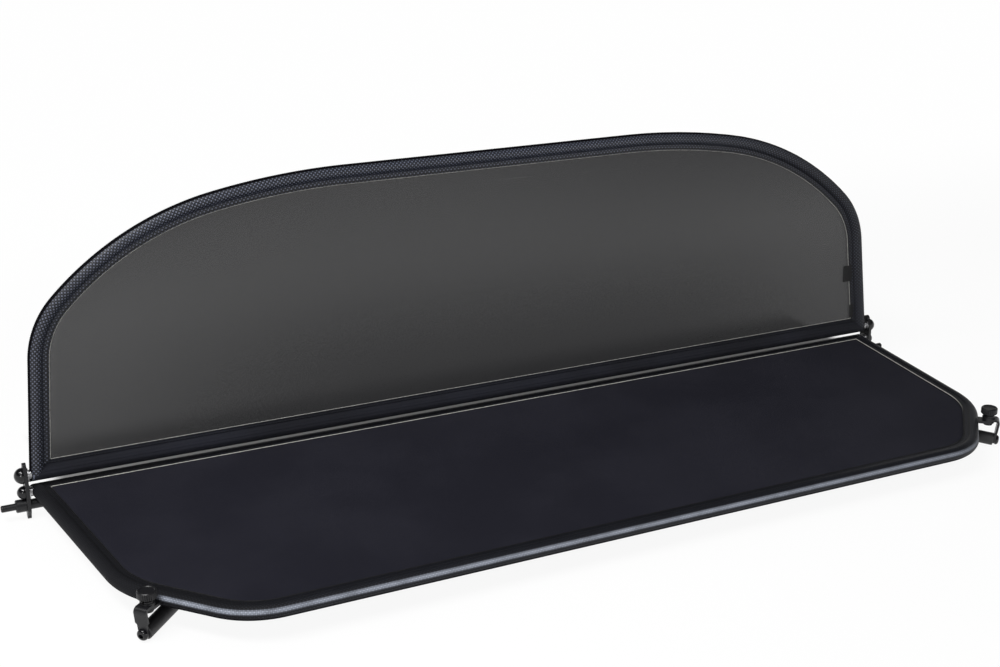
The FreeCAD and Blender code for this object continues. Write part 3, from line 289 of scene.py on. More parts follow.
def gauze_paint(name):
    """Fine grey-black gauze, a little see-through, denser and darker low in the middle, where the
    darkness is painted shade of the floor behind it, and denser and darker along the top."""
    paint = Paint(name, Roughness=0.7)
    paint.material.surface_render_method = "BLENDED"
    place = paint.place()
    sideways, _, level = paint.split(place)
    low = 1.0 - (level - HINGE.z).between(0.02, 0.22)
    middle = 1.0 - (sideways * sideways).between(0.0, 0.2)
    cloudy = paint.noise(7.0, 4.0)
    grain = paint.noise(1500.0, 1.0)
    # painted shade: low in the middle the gauze is painted darker, and denser, for the shaded floor
    # behind it
    shaded = low * (0.35 + middle * 0.65)
    streak = paint.node("ShaderNodeTexNoise", None,
                        {"Vector": paint.node("ShaderNodeMapping", None,
                                              {"Vector": place, "Scale": (4.0, 1.0, 90.0)}),
                         "Scale": 2.0, "Detail": 2.0})
    high = (level - HINGE.z).between(0.13, 0.25) * (sideways.between(-0.1, 0.3) * 0.4 + 0.6)
    tone = paint.mix(shaded * 0.7 + high * 0.9 + cloudy * 0.15, colour(0.036, 0.036, 0.037),
                     colour(0.018, 0.018, 0.02))
    shade_and_wear = paint.mix(streak.between(0.72, 0.8) * 0.35, tone, colour(0.07, 0.07, 0.07))
    density = 0.79 + shaded * 0.09 + high * 0.065 + (grain - 0.5) * 0.08
    relief = paint.bump(grain, 0.0001)
    return paint.feed(Base_Color=shade_and_wear, Alpha=density, Normal=relief)


def coated_paint(name, tone, roughness, rubbed, **constants):
    """Black coated steel, a little orange peel and rubbed patches."""
    paint = Paint(name, Base_Color=tone, **constants)
    peel = paint.noise(900.0, 2.0)
    handled = paint.noise(60.0, 4.0)
    tint = paint.mix(handled.between(0.55, 0.8) * 0.5, tone, rubbed)
    relief = paint.bump(peel, 0.00006)
    return paint.feed(Base_Color=tint, Roughness=roughness + handled * 0.14, Normal=relief)


def turned_paint(name):
    """Bare steel with the lathe's fine rings."""
    paint = Paint(name, Metallic=1.0)
    rings = paint.node("ShaderNodeTexWave", {"bands_direction": "X", "wave_type": "BANDS"},
                       {"Vector": paint.place(), "Scale": 700.0, "Distortion": 0.3}, output=1)
    patches = paint.noise(80.0)
    tint = paint.mix(patches, colour(0.36, 0.36, 0.37), colour(0.5, 0.5, 0.51))
    relief = paint.bump(rings, 0.00003)
    return paint.feed(Base_Color=tint, Roughness=0.28 + patches * 0.15, Normal=relief)


def rubber_paint(name):
    """Moulded black rubber with a faint bloom."""
    paint = Paint(name, Specular_IOR_Level=0.45)
    bloom = paint.noise(45.0, 4.0)
    pores = paint.noise(1700.0, 2.0)
    tint = paint.mix(bloom.between(0.4, 0.75), colour(0.011, 0.011, 0.012), colour(0.026, 0.026, 0.028))
    relief = paint.bump(pores, 0.00005)
    return paint.feed(Base_Color=tint, Roughness=0.42 + bloom * 0.2, Normal=relief)


def thread_paint(name, tone, lifted):
    """Twisted sewing thread."""
    paint = Paint(name)
    twist = paint.node("ShaderNodeTexWave", {"wave_type": "BANDS", "bands_direction": "DIAGONAL"},
                       {"Vector": paint.place(), "Scale": 900.0}, output=1)
    tint = paint.mix(twist * 0.8, tone, lifted)
    relief = paint.bump(twist, 0.00012)
    return paint.feed(Base_Color=tint, Roughness=0.5 + twist * 0.2, Normal=relief)


def cover_edge_paint(name):
    """Cut edge of the cover's binding, painted light: pale fibres only along the hinge and the
    right-hand side, where the edge catches light, and dark in front.
    """
    paint = Paint(name, Roughness=0.7)
    sideways, forward, _ = paint.split(paint.place())
    # painted light: pale only where the edge catches light, along the hinge and the right-hand side
    hinge = (forward - HINGE.y).between(-0.014, -0.011)
    right = sideways.between(0.41, 0.43) * (forward - HINGE.y).between(-0.26, -0.2)
    tone = paint.mix(paint.noise(300.0), colour(0.26, 0.26, 0.245), colour(0.55, 0.54, 0.5))
    pale = hinge.maths("MAXIMUM", right)
    return paint.feed(Base_Color=paint.mix(pale, colour(0.004, 0.004, 0.006), tone))


SATIN_BLACK = coated_paint("satin_black_coating", colour(0.008, 0.008, 0.0095), 0.3,
                           colour(0.02, 0.02, 0.023), Specular_IOR_Level=0.36)
GLOSS_BLACK = coated_paint("gloss_black_coating", colour(0.003, 0.003, 0.004), 0.12,
                           colour(0.008, 0.008, 0.009), Specular_IOR_Level=0.3, Coat_Weight=0.25,
                           Coat_Roughness=0.06)
FRAME_BLACK = coated_paint("frame_powder_coat", colour(0.014, 0.014, 0.015), 0.4,
                           colour(0.03, 0.03, 0.032))
BARE_STEEL = turned_paint("turned_steel")
JAW_RUBBER = rubber_paint("jaw_rubber_compound")
COVER_CLOTH = close_cloth_paint("cover_cloth_navy_black", colour(0.0135, 0.0135, 0.0215),
                                colour(0.0225, 0.0225, 0.0325), 520.0, Specular_IOR_Level=0.12)
# The cover's sleeve gets a painted highlight along its front (its last colour); both sleeves are painted
# darker at some sides as painted shade.
COVER_WEAVE = woven_paint("cover_sleeve_weave", COVER_CELL, colour(0.002, 0.002, 0.003),
                          colour(0.004, 0.004, 0.006), colour(0.024, 0.027, 0.038), 0.00014,
                          (0.5, 5.5), (27.0, 1.0, 5.0), 0.52, colour(0.36, 0.39, 0.46),
                          Specular_IOR_Level=0.2)
SCREEN_WEAVE = woven_paint("screen_sleeve_basket_weave", BASKET_CELL, colour(0.002, 0.002, 0.003),
                           colour(0.014, 0.016, 0.024), colour(0.15, 0.165, 0.225), 0.00018,
                           (1.5, 6.7), (27.2, 3.8, 5.8), 0.36, Specular_IOR_Level=0.35)
BASE_CLOTH = close_cloth_paint("base_strip_cloth", colour(0.0055, 0.006, 0.0105),
                               colour(0.016, 0.0175, 0.028), 700.0, Specular_IOR_Level=0.35)
TAB_CLOTH = close_cloth_paint("tab_tape", colour(0.006, 0.006, 0.007),
                              colour(0.012, 0.012, 0.013), 600.0)
GAUZE = gauze_paint("fine_gauze")
DARK_THREAD = thread_paint("sewing_thread_dark", colour(0.003, 0.003, 0.004),
                           colour(0.012, 0.012, 0.016))
PALE_EDGE = thread_paint("cut_edge_fibres", colour(0.3, 0.3, 0.285), colour(0.5, 0.49, 0.46))
COVER_EDGE = cover_edge_paint("cover_cut_edge_fibres_painted_light")


# ------------------------------------------------------------------ paths that the tubes follow

class Path:
    """Stations along straight stretches, left-hand bends and mitred corners of a tube.

    A move is (length, None), (radius, turn), or (0, turn) for a mitre: one station on the mitre's
    plane, stretched to fit it, and one that starts the next stretch."""

    def __init__(self, start, heading, moves, step):
        places, headings, runs, stretches = [np.array(start, float)], [heading], [0.0], [1.0]
        self.mitres = []
        for size, turn in moves:
            origin, begun, gone = places[-1], headings[-1], runs[-1]
            if size == 0:
                self.mitres.append((origin, begun + turn / 2, gone))
                places.append(origin)
                headings.append(begun + turn / 2)
                stretches.append(1 / math.cos(turn / 2))
                places.append(origin)
                headings.append(begun + turn)
                stretches.append(1.0)
                runs += [gone, gone + 1e-7]
                continue
            length = size if turn is None else size * turn
            for share in np.linspace(0, 1, max(2, int(round(length / step))) + 1)[1:]:
                if turn is None:
                    places.append(origin + size * share * np.array([math.cos(begun), math.sin(begun)]))
                    headings.append(begun)
                else:
                    turned = begun + turn * share
                    places.append(origin + size * np.array([math.sin(turned) - math.sin(begun),
                                                            math.cos(begun) - math.cos(turned)]))
                    headings.append(turned)
                runs.append(gone + length * share)
                stretches.append(1.0)
        self.places, self.headings = np.array(places), np.array(headings)
        self.runs, self.stretches = np.array(runs), np.array(stretches)

    def trimmed(self, first, last):
        """The stations between two indices; mitres stay."""
        for name in ("places", "headings", "runs", "stretches"):
            setattr(self, name, getattr(self, name)[first:last])
        return self

    def inset(self, amounts):
        """Points drawn inwards by amounts, one row for each station, none past a mitre."""
        amounts = np.broadcast_to(amounts, (len(self.places), np.shape(amounts)[-1]))
        ahead = np.stack([np.cos(self.headings), np.sin(self.headings)], -1)
        side = np.stack([-ahead[:, 1], ahead[:, 0]], -1) * self.stretches[:, None]
        flat = self.places[:, None, :] + side[:, None, :] * amounts[..., None]
        for corner, heading, run in self.mitres:
            across = np.array([math.cos(heading), math.sin(heading)])
            past = (flat - corner) @ across
            before = (self.runs <= run)[:, None]
            near = (np.abs(self.runs - run) < 60 * MM)[:, None] & (self.stretches == 1.0)[:, None]
            wrong = near & np.where(before, past > 0, past < 0)
            slide = past / np.maximum(ahead @ across, 0.2)[:, None]
            flat = flat - np.where(wrong, slide, 0)[..., None] * ahead[:, None, :]
        return flat

    def line(self, amount):
        """Line at an inset, without repeated points."""
        flat = self.inset([amount])[:, 0]
        keep = np.linalg.norm(flat - np.roll(flat, 1, axis=0), axis=1) > 0.3 * MM
        return flat[keep]


def cover_path(step):
    """The cover's tube, once round from the middle of the front edge; the end meets the start."""
    right = [np.array(corner) for corner in COVER_CORNERS]
    corners = right + [corner * [-1, 1] for corner in right[::-1]]
    bends = COVER_BENDS + COVER_BENDS[::-1]
    middle = np.array([0.0, COVER_CORNERS[0][1]])
    start, spent, moves = middle, 0.0, []
    for index, (corner, radius) in enumerate(zip(corners, bends)):
        after = corners[index + 1] if index + 1 < len(corners) else middle
        came, goes = corner - start, after - corner
        turn = math.atan2(came[0] * goes[1] - came[1] * goes[0], came @ goes)
        cut = radius * math.tan(turn / 2)
        moves += [(np.hypot(*came) - spent - cut, None), (radius, turn)]
        start, spent = corner, cut
    moves.append((np.hypot(*(middle - start)) - spent, None))
    return Path(middle, 0.0, moves, step).trimmed(0, -1)


def screen_path(step):
    """Sides and top of the screen's tube, from one foot mitre to the other."""
    heading = FOOT_TURN
    reach = HALF_WIDTH - SIDE_LENGTH * math.sin(SIDE_TAPER)
    bends = [(CORNER_BEND, CORNER_SWEEP), (SHOULDER_BEND, SHOULDER_SWEEP)]
    bends.append((CROWN_BEND, math.pi - FOOT_TURN - CORNER_SWEEP - SHOULDER_SWEEP))
    for radius, sweep in bends:
        reach += radius * (math.sin(heading + sweep) - math.sin(heading))
        heading += sweep
    side, foot = [(SIDE_LENGTH, None)], [(0, FOOT_TURN)]
    moves = foot + side + bends + [(2 * reach, None)] + bends[::-1] + side + foot
    return Path((HALF_WIDTH, 0), 0.0, moves, step).trimmed(1, -1)


def base_path(step):
    """Foot of the screen's tube, from one foot mitre to the other."""
    moves = [(0, FOOT_TURN), (2 * HALF_WIDTH, None), (0, FOOT_TURN)]
    return Path((-HALF_WIDTH, 0), -FOOT_TURN, moves, step).trimmed(1, -1)


# ------------------------------------------------------------------ meshes

def mesh_piece(name, points, faces, place, material, runs=None):
    """A finished piece at the origin, with its place in its mesh."""
    mesh = bpy.data.meshes.new(name)
    mesh.from_pydata([place @ Vector(p) for p in points], [], faces)
    if runs is not None:
        layer = mesh.uv_layers.new(name="run")
        layer.data.foreach_set("uv", np.asarray(runs, np.float32).ravel())
    mesh.polygons.foreach_set("use_smooth", [True] * len(mesh.polygons))
    mesh.materials.append(material)
    mesh.update()
    piece = bpy.data.objects.new(name, mesh)
    bpy.context.scene.collection.objects.link(piece)
    return piece


def sleeve_section(reach, height, flange, step):
    """Half-profile of a cloth folded round the tube, as (inward, up) points: the outer face from
    the flange's upper tip round the tube to its lower tip, and then the hidden inner face back."""
    top, bottom = height + flange / 2, height - flange / 2
    upper = math.asin(top / SLEEVE_RADIUS)
    lower = math.asin(bottom / SLEEVE_RADIUS) + 2 * math.pi
    turns = np.linspace(upper, lower, int((lower - upper) * SLEEVE_RADIUS / step))
    ring = np.stack([np.cos(turns), np.sin(turns)], -1) * SLEEVE_RADIUS
    count = max(2, int(round((reach - ring[0][0]) / step)))
    above = [(a, top) for a in np.linspace(reach, ring[0][0], count, endpoint=False)]
    below = [(a, bottom) for a in np.linspace(reach, ring[-1][0], count, endpoint=False)][::-1]
    outer = np.array(above + list(ring) + below)
    ply = flange * 0.06
    turns = np.linspace(math.asin((height - ply) / SLEEVE_BORE) + 2 * math.pi,
                        math.asin((height + ply) / SLEEVE_BORE), 12)
    bore = np.stack([np.cos(turns), np.sin(turns)], -1) * SLEEVE_BORE
    inner = [(reach - flange / 3, height - ply)] + list(bore) + [(reach - flange / 3, height + ply)]
    return outer, np.array(inner)


def section_normals(outer):
    """Unit normals of a section's outer face, pointing away from the cloth."""
    slope = np.gradient(outer, axis=0)
    out = np.stack([slope[:, 1], -slope[:, 0]], -1)
    out /= np.linalg.norm(out, axis=1)[:, None]
    middle = len(out) // 2
    return out if out[middle] @ outer[middle] > 0 else -out


def sweep(name, path, section, place, material, raise_by, closed=False):
    """Cloth sleeve: a section carried along a path. raise_by gives the outer face's relief from
    run and crosswise run."""
    outer, inner = section
    cross = np.concatenate([[0], np.cumsum(np.linalg.norm(np.diff(outer, axis=0), axis=1))])
    relief = raise_by(path.runs[:, None], cross[None, :])
    shaped = outer[None] + relief[..., None] * section_normals(outer)[None]
    full = np.concatenate([shaped, np.broadcast_to(inner, (len(path.places),) + inner.shape)], 1)
    points = np.concatenate([path.inset(full[..., 0]), full[..., 1:]], -1)
    n, m = points.shape[:2]
    crossing = np.concatenate([cross, np.linspace(cross[-1], cross[-1] + 20 * MM, len(inner) + 1)])
    runs = np.append(path.runs, path.runs[-1] + path.runs[1])
    faces, uvs = [], []
    for i in range(n if closed else n - 1):
        ahead = (i + 1) % n
        for k in range(m):
            beside = (k + 1) % m
            faces.append((i * m + k, ahead * m + k, ahead * m + beside, i * m + beside))
            u0, u1, v0, v1 = runs[i], runs[i + 1], crossing[k], crossing[k + 1]
            uvs += [(u0, v0), (u1, v0), (u1, v1), (u0, v1)]
    if not closed:
        for i, order in ((0, range(m)), (n - 1, reversed(range(m)))):
            order = list(order)
            faces.append(tuple(i * m + k for k in order))
            uvs += [(runs[i], crossing[k]) for k in order]
    piece = mesh_piece(name, points.reshape(-1, 3), faces, place, material, uvs)
    face_outward(piece)
    return piece, runs[-1], cross[-1]


def face_outward(piece):
    """Faces of a closed mesh point outwards."""
    work = bmesh.new()
    work.from_mesh(piece.data)
    bmesh.ops.dissolve_degenerate(work, dist=1e-6, edges=work.edges)
    bmesh.ops.recalc_face_normals(work, faces=work.faces)
    if work.calc_volume(signed=True) < 0:
        bmesh.ops.reverse_faces(work, faces=work.faces)
    work.to_mesh(piece.data)
    work.free()


def panel(name, rim, thickness, level, rings, sag, place, material, flutter):
    """Stretched cloth inside a rim: rings of points that close in on the middle, both faces."""
    middle = np.array([0.0, (rim[:, 1].min() + rim[:, 1].max()) / 2])
    shares = (np.arange(rings) / rings) ** 1.15
    flat = middle + (rim[None] - middle) * (1 - shares)[:, None, None]
    flat = np.concatenate([flat.reshape(-1, 2), middle[None]])
    count = len(flat)
    batches = [flat[start:start + 4000] for start in range(0, count, 4000)]
    nearest = np.concatenate([np.linalg.norm(batch[:, None] - rim[None, ::2], axis=2).min(1)
                              for batch in batches])
    depth = flutter(flat, nearest) - sag * (1 - np.exp(-nearest / (90 * MM)))
    top = np.column_stack([flat, level + depth + thickness / 2])
    low = np.column_stack([flat, level + depth - thickness / 2])
    n = len(rim)
    faces = []
    for ring in range(rings - 1):
        for i in range(n):
            j = (i + 1) % n
            a, b = ring * n + i, ring * n + j
            c, d = (ring + 1) * n + j, (ring + 1) * n + i
            faces.append((a, b, c, d))
            faces.append((count + a, count + d, count + c, count + b))
    for i in range(n):
        a, b = (rings - 1) * n + i, (rings - 1) * n + (i + 1) % n
        faces.append((a, b, count - 1))
        faces.append((count + b, count + a, 2 * count - 1))
        faces.append((i, count + i, count + (i + 1) % n, (i + 1) % n))
    piece = mesh_piece(name, np.concatenate([top, low]), faces, place, material)
    face_outward(piece)
    return piece


# ------------------------------------------------------------------ what repeats, by node trees

def new_tree(name, inputs):
    """Geometry node tree with named number inputs; gives the tree, its input node and socket ids."""
    tree = bpy.data.node_groups.new(name, "GeometryNodeTree")
    tree.interface.new_socket("Geometry", in_out="INPUT", socket_type="NodeSocketGeometry")
    tree.interface.new_socket("Geometry", in_out="OUTPUT", socket_type="NodeSocketGeometry")
    ids = {}
    for label, (kind, value) in inputs.items():
        socket = tree.interface.new_socket(label, in_out="INPUT", socket_type=kind)
        socket.default_value = value
        ids[label] = socket.identifier
    return tree, ids


class Grower:
    """Builds geometry nodes one at a time."""

    def __init__(self, tree):
        self.tree = tree
        self.start = tree.nodes.new("NodeGroupInput")

    def add(self, kind, settings=None, sockets=None):
        return add_node(self.tree, kind, settings, sockets)

    def given(self, label):
        return self.start.outputs[label]

    def end(self, geometry, material):
        real = self.add("GeometryNodeRealizeInstances", None, {0: geometry})
        painted = self.add("GeometryNodeSetMaterial", None, {"Geometry": real.outputs[0],
                                                             "Material": material})
        self.add("NodeGroupOutput", None, {0: painted.outputs[0]})


def stitch_tree(material):
    """Short thread stitches along a seam, each a slim bead laid along the seam with a little
    unevenness."""
    tree, ids = new_tree("seam_stitches_" + material.name, {
        "Pitch": ("NodeSocketFloat", 3 * MM), "Stitch Length": ("NodeSocketFloat", 2.2 * MM),
        "Thread Radius": ("NodeSocketFloat", 0.22 * MM), "Seed": ("NodeSocketInt", 3)})
    grow = Grower(tree)
    spaced = grow.add("GeometryNodeCurveToPoints", {"mode": "LENGTH"},
                      {"Curve": grow.given("Geometry"), "Length": grow.given("Pitch")})
    bead = grow.add("GeometryNodeMeshUVSphere", None, {"Segments": 6, "Rings": 4, "Radius": 1.0})
    half = grow.add("ShaderNodeMath", {"operation": "MULTIPLY"},
                    {0: grow.given("Stitch Length"), 1: 0.5})
    slim = grow.add("ShaderNodeCombineXYZ", None, {0: grow.given("Thread Radius"),
                                                  1: grow.given("Thread Radius"), 2: half.outputs[0]})
    uneven = grow.add("FunctionNodeRandomValue", {"data_type": "FLOAT"},
                      {2: 0.8, 3: 1.15, "Seed": grow.given("Seed")})
    size = grow.add("ShaderNodeVectorMath", {"operation": "SCALE"},
                    {0: slim.outputs[0], "Scale": uneven.outputs[1]})
    along = grow.add("FunctionNodeAlignRotationToVector", {"axis": "Z"},
                     {"Vector": spaced.outputs["Tangent"]})
    laid = grow.add("GeometryNodeInstanceOnPoints", None,
                    {"Points": spaced.outputs[0], "Instance": bead.outputs[0],
                     "Rotation": along.outputs[0], "Scale": size.outputs[0]})
    grow.end(laid.outputs[0], material)
    return tree, ids


def edge_tree(material):
    """Raw cut edge: a thin strip of fibres along the cloth's edge, thicker and thinner by chance."""
    tree, ids = new_tree("cut_edge_" + material.name, {
        "Radius": ("NodeSocketFloat", 0.5 * MM), "Step": ("NodeSocketFloat", 1.5 * MM),
        "Roughness": ("NodeSocketFloat", 0.35), "Seed": ("NodeSocketInt", 5)})
    grow = Grower(tree)
    spaced = grow.add("GeometryNodeResampleCurve", {"mode": "LENGTH"},
                      {"Curve": grow.given("Geometry"), "Length": grow.given("Step")})
    rough = grow.add("ShaderNodeMath", {"operation": "SUBTRACT"},
                     {0: 1.0, 1: grow.given("Roughness")})
    uneven = grow.add("FunctionNodeRandomValue", {"data_type": "FLOAT"},
                      {2: rough.outputs[0], 3: 1.0, "Seed": grow.given("Seed")})
    radius = grow.add("ShaderNodeMath", {"operation": "MULTIPLY"},
                      {0: uneven.outputs[1], 1: grow.given("Radius")})
    ring = grow.add("GeometryNodeCurvePrimitiveCircle", None, {"Resolution": 6, "Radius": 1.0})
    strip = grow.add("GeometryNodeCurveToMesh", None,
                     {"Curve": spaced.outputs[0], "Profile Curve": ring.outputs[0],
                      "Scale": radius.outputs[0], "Fill Caps": True})
    grow.end(strip.outputs[0], material)
    return tree, ids


def line_object(name, points, closed):
    """Poly line for a node tree to run along."""
    curve = bpy.data.curves.new(name, "CURVE")
    curve.dimensions = "3D"
    spline = curve.splines.new("POLY")
    spline.points.add(len(points) - 1)
    for target, point in zip(spline.points, points):
        target.co = (*point, 1.0)
    spline.use_cyclic_u = closed
    made = bpy.data.objects.new(name, curve)
    bpy.context.scene.collection.objects.link(made)
    return made


def grown(name, source, tree, ids, **values):
    """Plain mesh from a node tree run on a source object, which goes."""
    modifier = source.modifiers.new("grow", "NODES")
    modifier.node_group = tree
    for label, value in values.items():
        modifier[ids[label.replace("_", " ")]] = value
    bpy.context.view_layer.update()
    finished = source.evaluated_get(bpy.context.evaluated_depsgraph_get())
    result = bpy.data.meshes.new_from_object(finished)
    bpy.data.objects.remove(source)
    result.name = name
    result.polygons.foreach_set("use_smooth", [True] * len(result.polygons))
    piece = bpy.data.objects.new(name, result)
    bpy.context.scene.collection.objects.link(piece)
    return piece


def seam_line(path, inset, height, place):
    """Points of a line that lies inset from the tube's axis, at a height."""
    return [place @ Vector((x, y, height)) for x, y in path.line(inset)]


# ------------------------------------------------------------------ the cover

def cover_flutter(flat, nearest):
    """Low waves left in a stretched cloth, strongest between its edge and 100 mm in."""
    x, y = flat[:, 0], flat[:, 1]
    waves = np.sin(x * 21 + 1.3 * np.sin(y * 11)) * np.cos(y * 17 + 0.7) * 0.14 * MM
    pucker = np.sin(np.hypot(x, y) * 160) * 0.08 * MM * np.exp(-nearest / (12 * MM))
    return waves * np.clip(nearest / (40 * MM), 0, 1) + pucker


def fold_relief(lines, depth, width):
    """Relief of pressed folds that run along a sleeve, as a function of run and crosswise run."""
    def relief(run, cross):
        height = np.zeros(np.broadcast(run, cross).shape)
        for line in lines:
            height -= depth * np.exp(-((cross - line) / width) ** 2)
        return height + 0.05 * MM * np.sin(run * 900 + np.sin(run * 37) * 2) * (cross < 12 * MM)
    return relief


def basket_relief(cell, depth):
    """Egg-crate relief of a coarse basket weave, one bump for each cell."""
    def relief(run, cross):
        return -depth / 2 * (np.cos(2 * math.pi * run / cell) + np.cos(2 * math.pi * cross / cell))
    return relief


loop = cover_path(1.6 * MM)
section = sleeve_section(COVER_REACH, COVER_FLANGE_HEIGHT, COVER_FLANGE, 1.3 * MM)
cover_sleeve, sleeve_run, sleeve_wrap = sweep(
    "cover_sleeve", loop, section, COVER_PLACE, COVER_WEAVE,
    fold_relief([1.0 * MM, 5.5 * MM], 0.22 * MM, 0.5 * MM), True)
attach(cover_sleeve, "cover")
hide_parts("cover_binding")

coarse = cover_path(4 * MM)
rim = coarse.line(COVER_REACH - 0.4 * MM)
cover_cloth = panel("cover_cloth", rim, 0.6 * MM, COVER_FLANGE_HEIGHT, 44, 1.2 * MM, COVER_PLACE,
                    COVER_CLOTH, cover_flutter)
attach(cover_cloth, "cover")
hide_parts("cover_fabric")

dark_stitches, stitch_ids = stitch_tree(DARK_THREAD)
pale_edges, edge_ids = edge_tree(PALE_EDGE)
cover_edges, cover_edge_ids = edge_tree(COVER_EDGE)

COVER_SEAM_INSETS = (3.6 * MM, 8.0 * MM)

cover_top = COVER_FLANGE_HEIGHT + COVER_FLANGE / 2
for number, inset in enumerate(COVER_SEAM_INSETS):
    seam = grown("cover_seam_%d" % (number + 1),
                 line_object("seam", seam_line(coarse, inset, cover_top + 0.02 * MM, COVER_PLACE), True),
                 dark_stitches, stitch_ids, Pitch=3.1 * MM, Seed=3 + number)
    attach(seam, "cover")
cover_edge = grown("cover_cut_edge",
                   line_object("edge", seam_line(coarse, COVER_REACH + 0.2 * MM, cover_top - 0.35 * MM,
                                                 COVER_PLACE), True),
                   cover_edges, cover_edge_ids, Radius=0.6 * MM, Seed=11)
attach(cover_edge, "cover")

# ------------------------------------------------------------------ the screen

arch = screen_path(1.0 * MM)
section = sleeve_section(SCREEN_REACH, 0.0, SCREEN_FLANGE, 1.0 * MM)
screen_sleeve, arch_run, arch_wrap = sweep(
    "screen_sleeve", arch, section, SCREEN_PLACE, SCREEN_WEAVE,
    basket_relief(BASKET_CELL * MM, 0.2 * MM))
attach(screen_sleeve, "screen")
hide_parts("screen_binding")

BASE_FOLDS = [run * MM for run in (1.6, 4.6, 6.6, 10.5, 13.5, 44, 48)]

base = base_path(2.0 * MM)
section = sleeve_section(BASE_REACH, 0.0, SCREEN_FLANGE, 0.5 * MM)
base_sleeve, base_run, base_wrap = sweep(
    "screen_base_sleeve", base, section, SCREEN_PLACE, BASE_CLOTH,
    fold_relief(BASE_FOLDS, 0.35 * MM, 0.45 * MM))
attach(base_sleeve, "screen")
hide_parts("screen_base_binding")


def screen_flutter(flat, nearest):
    """Low waves left in the stretched gauze, none at its edge."""
    x, y = flat[:, 0], flat[:, 1]
    waves = np.sin(x * 13 + 2 * np.sin(y * 9)) * np.cos(y * 15) * 0.12 * MM
    return waves * np.clip(nearest / (50 * MM), 0, 1)


def screen_rim(side_inset, foot_inset):
    """Closed line within the screen's tube, with sharp foot corners."""
    around = screen_path(4 * MM).line(side_inset)
    around = around[around[:, 1] > foot_inset + 1 * MM]
    reach = HALF_WIDTH - side_inset / math.cos(SIDE_TAPER) - foot_inset * math.tan(SIDE_TAPER)
    foot = np.linspace(-reach, reach, 240)
    return np.concatenate([around, np.stack([foot, np.full(len(foot), foot_inset)], -1)])


rim = screen_rim(SCREEN_REACH - 0.5 * MM, BASE_REACH - 0.5 * MM)
gauze = panel("screen_gauze", rim, 0.4 * MM, 0.0, 40, 0.0, SCREEN_PLACE, GAUZE, screen_flutter)
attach(gauze, "screen")
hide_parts("screen_mesh")

half_flange = SCREEN_FLANGE / 2
arch_line, base_line = screen_path(3 * MM), base_path(3 * MM)
# Each seam: the tube it follows, its inset from the tube's axis, and 1 in front or -1 behind.
SCREEN_SEAMS = [
    (arch_line, 6.3 * MM, 1), (arch_line, 11.5 * MM, 1), (arch_line, 9.6 * MM, -1),
    (base_line, 9.2 * MM, 1), (base_line, 11.4 * MM, 1), (base_line, 10.2 * MM, -1)]

for number, (line, inset, face) in enumerate(SCREEN_SEAMS):
    points = seam_line(line, inset, face * (half_flange + 0.1 * MM), SCREEN_PLACE)
    seam = grown("screen_seam_%d" % (number + 1), line_object("seam", points[1:-1], False),
                 dark_stitches, stitch_ids, Pitch=3.2 * MM, Seed=20 + number)
    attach(seam, "screen")

edge_rim = [SCREEN_PLACE @ Vector((x, y, half_flange * 0.55))
            for x, y in screen_rim(SCREEN_REACH + 0.1 * MM, BASE_REACH + 0.1 * MM)]
screen_edge = grown("screen_cut_edge", line_object("edge", edge_rim, True), pale_edges, edge_ids,
                    Radius=0.45 * MM, Seed=31)
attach(screen_edge, "screen")


def soft_tab(outline, thickness):
    """Points and faces of a small cloth tab with eased edges, flat on z = 0 at its middle."""
    n = len(outline)
    outline = np.array(outline)
    centre = outline.mean(0)
    rings = [(1.0, 0.0), (0.995, 0.35), (0.96, 0.5), (0.5, 0.5)]
    levels = rings[::-1] + [(share, -rise) for share, rise in rings[1:]]
    points, faces = [], []
    for share, rise in levels:
        points += [(*(centre + (p - centre) * share), rise * thickness) for p in outline]
    for ring in range(len(levels) - 1):
        for i in range(n):
            j = (i + 1) % n
            faces.append((ring * n + i, (ring + 1) * n + i, (ring + 1) * n + j, ring * n + j))
    faces += [tuple(range(n)), tuple((len(levels) - 1) * n + i for i in reversed(range(n)))]
    return points, faces


# Each tab: its rise above the hinge line, how far it stands out over the gauze, and its height.
TABS = [(61 * MM, 10 * MM, 20 * MM), (14 * MM, 2.4 * MM, 17 * MM)]
TAB_LAP, TAB_CORNER, TAB_THICKNESS, TAB_LIFT = 2.4 * MM, 0.7 * MM, 0.9 * MM, 0.55 * MM

tab_points, tab_faces = [], []
for rise, width, height in TABS:
    inner_edge = HALF_WIDTH - SCREEN_REACH - rise * math.tan(SIDE_TAPER)
    x0, x1 = inner_edge - width + TAB_CORNER, inner_edge + TAB_LAP - TAB_CORNER
    z0, z1 = rise + TAB_CORNER, rise + height - TAB_CORNER
    outline = []
    for cx, cz, first in ((x1, z1, 0), (x0, z1, 90), (x0, z0, 180), (x1, z0, 270)):
        for turn in np.radians(np.linspace(first, first + 90, 5)):
            outline.append((cx + TAB_CORNER * math.cos(turn), cz + TAB_CORNER * math.sin(turn)))
    points, faces = soft_tab(outline, TAB_THICKNESS)
    points = [(x, y, z + half_flange + TAB_LIFT) for x, y, z in points]
    start = len(tab_points)
    tab_points += points
    tab_faces += [tuple(start + i for i in face) for face in faces]
tabs = mesh_piece("screen_edge_tabs", tab_points, tab_faces, SCREEN_PLACE, TAB_CLOTH)
face_outward(tabs)
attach(tabs, "screen")
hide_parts("edge_tabs")

# ------------------------------------------------------------------ steel and rubber

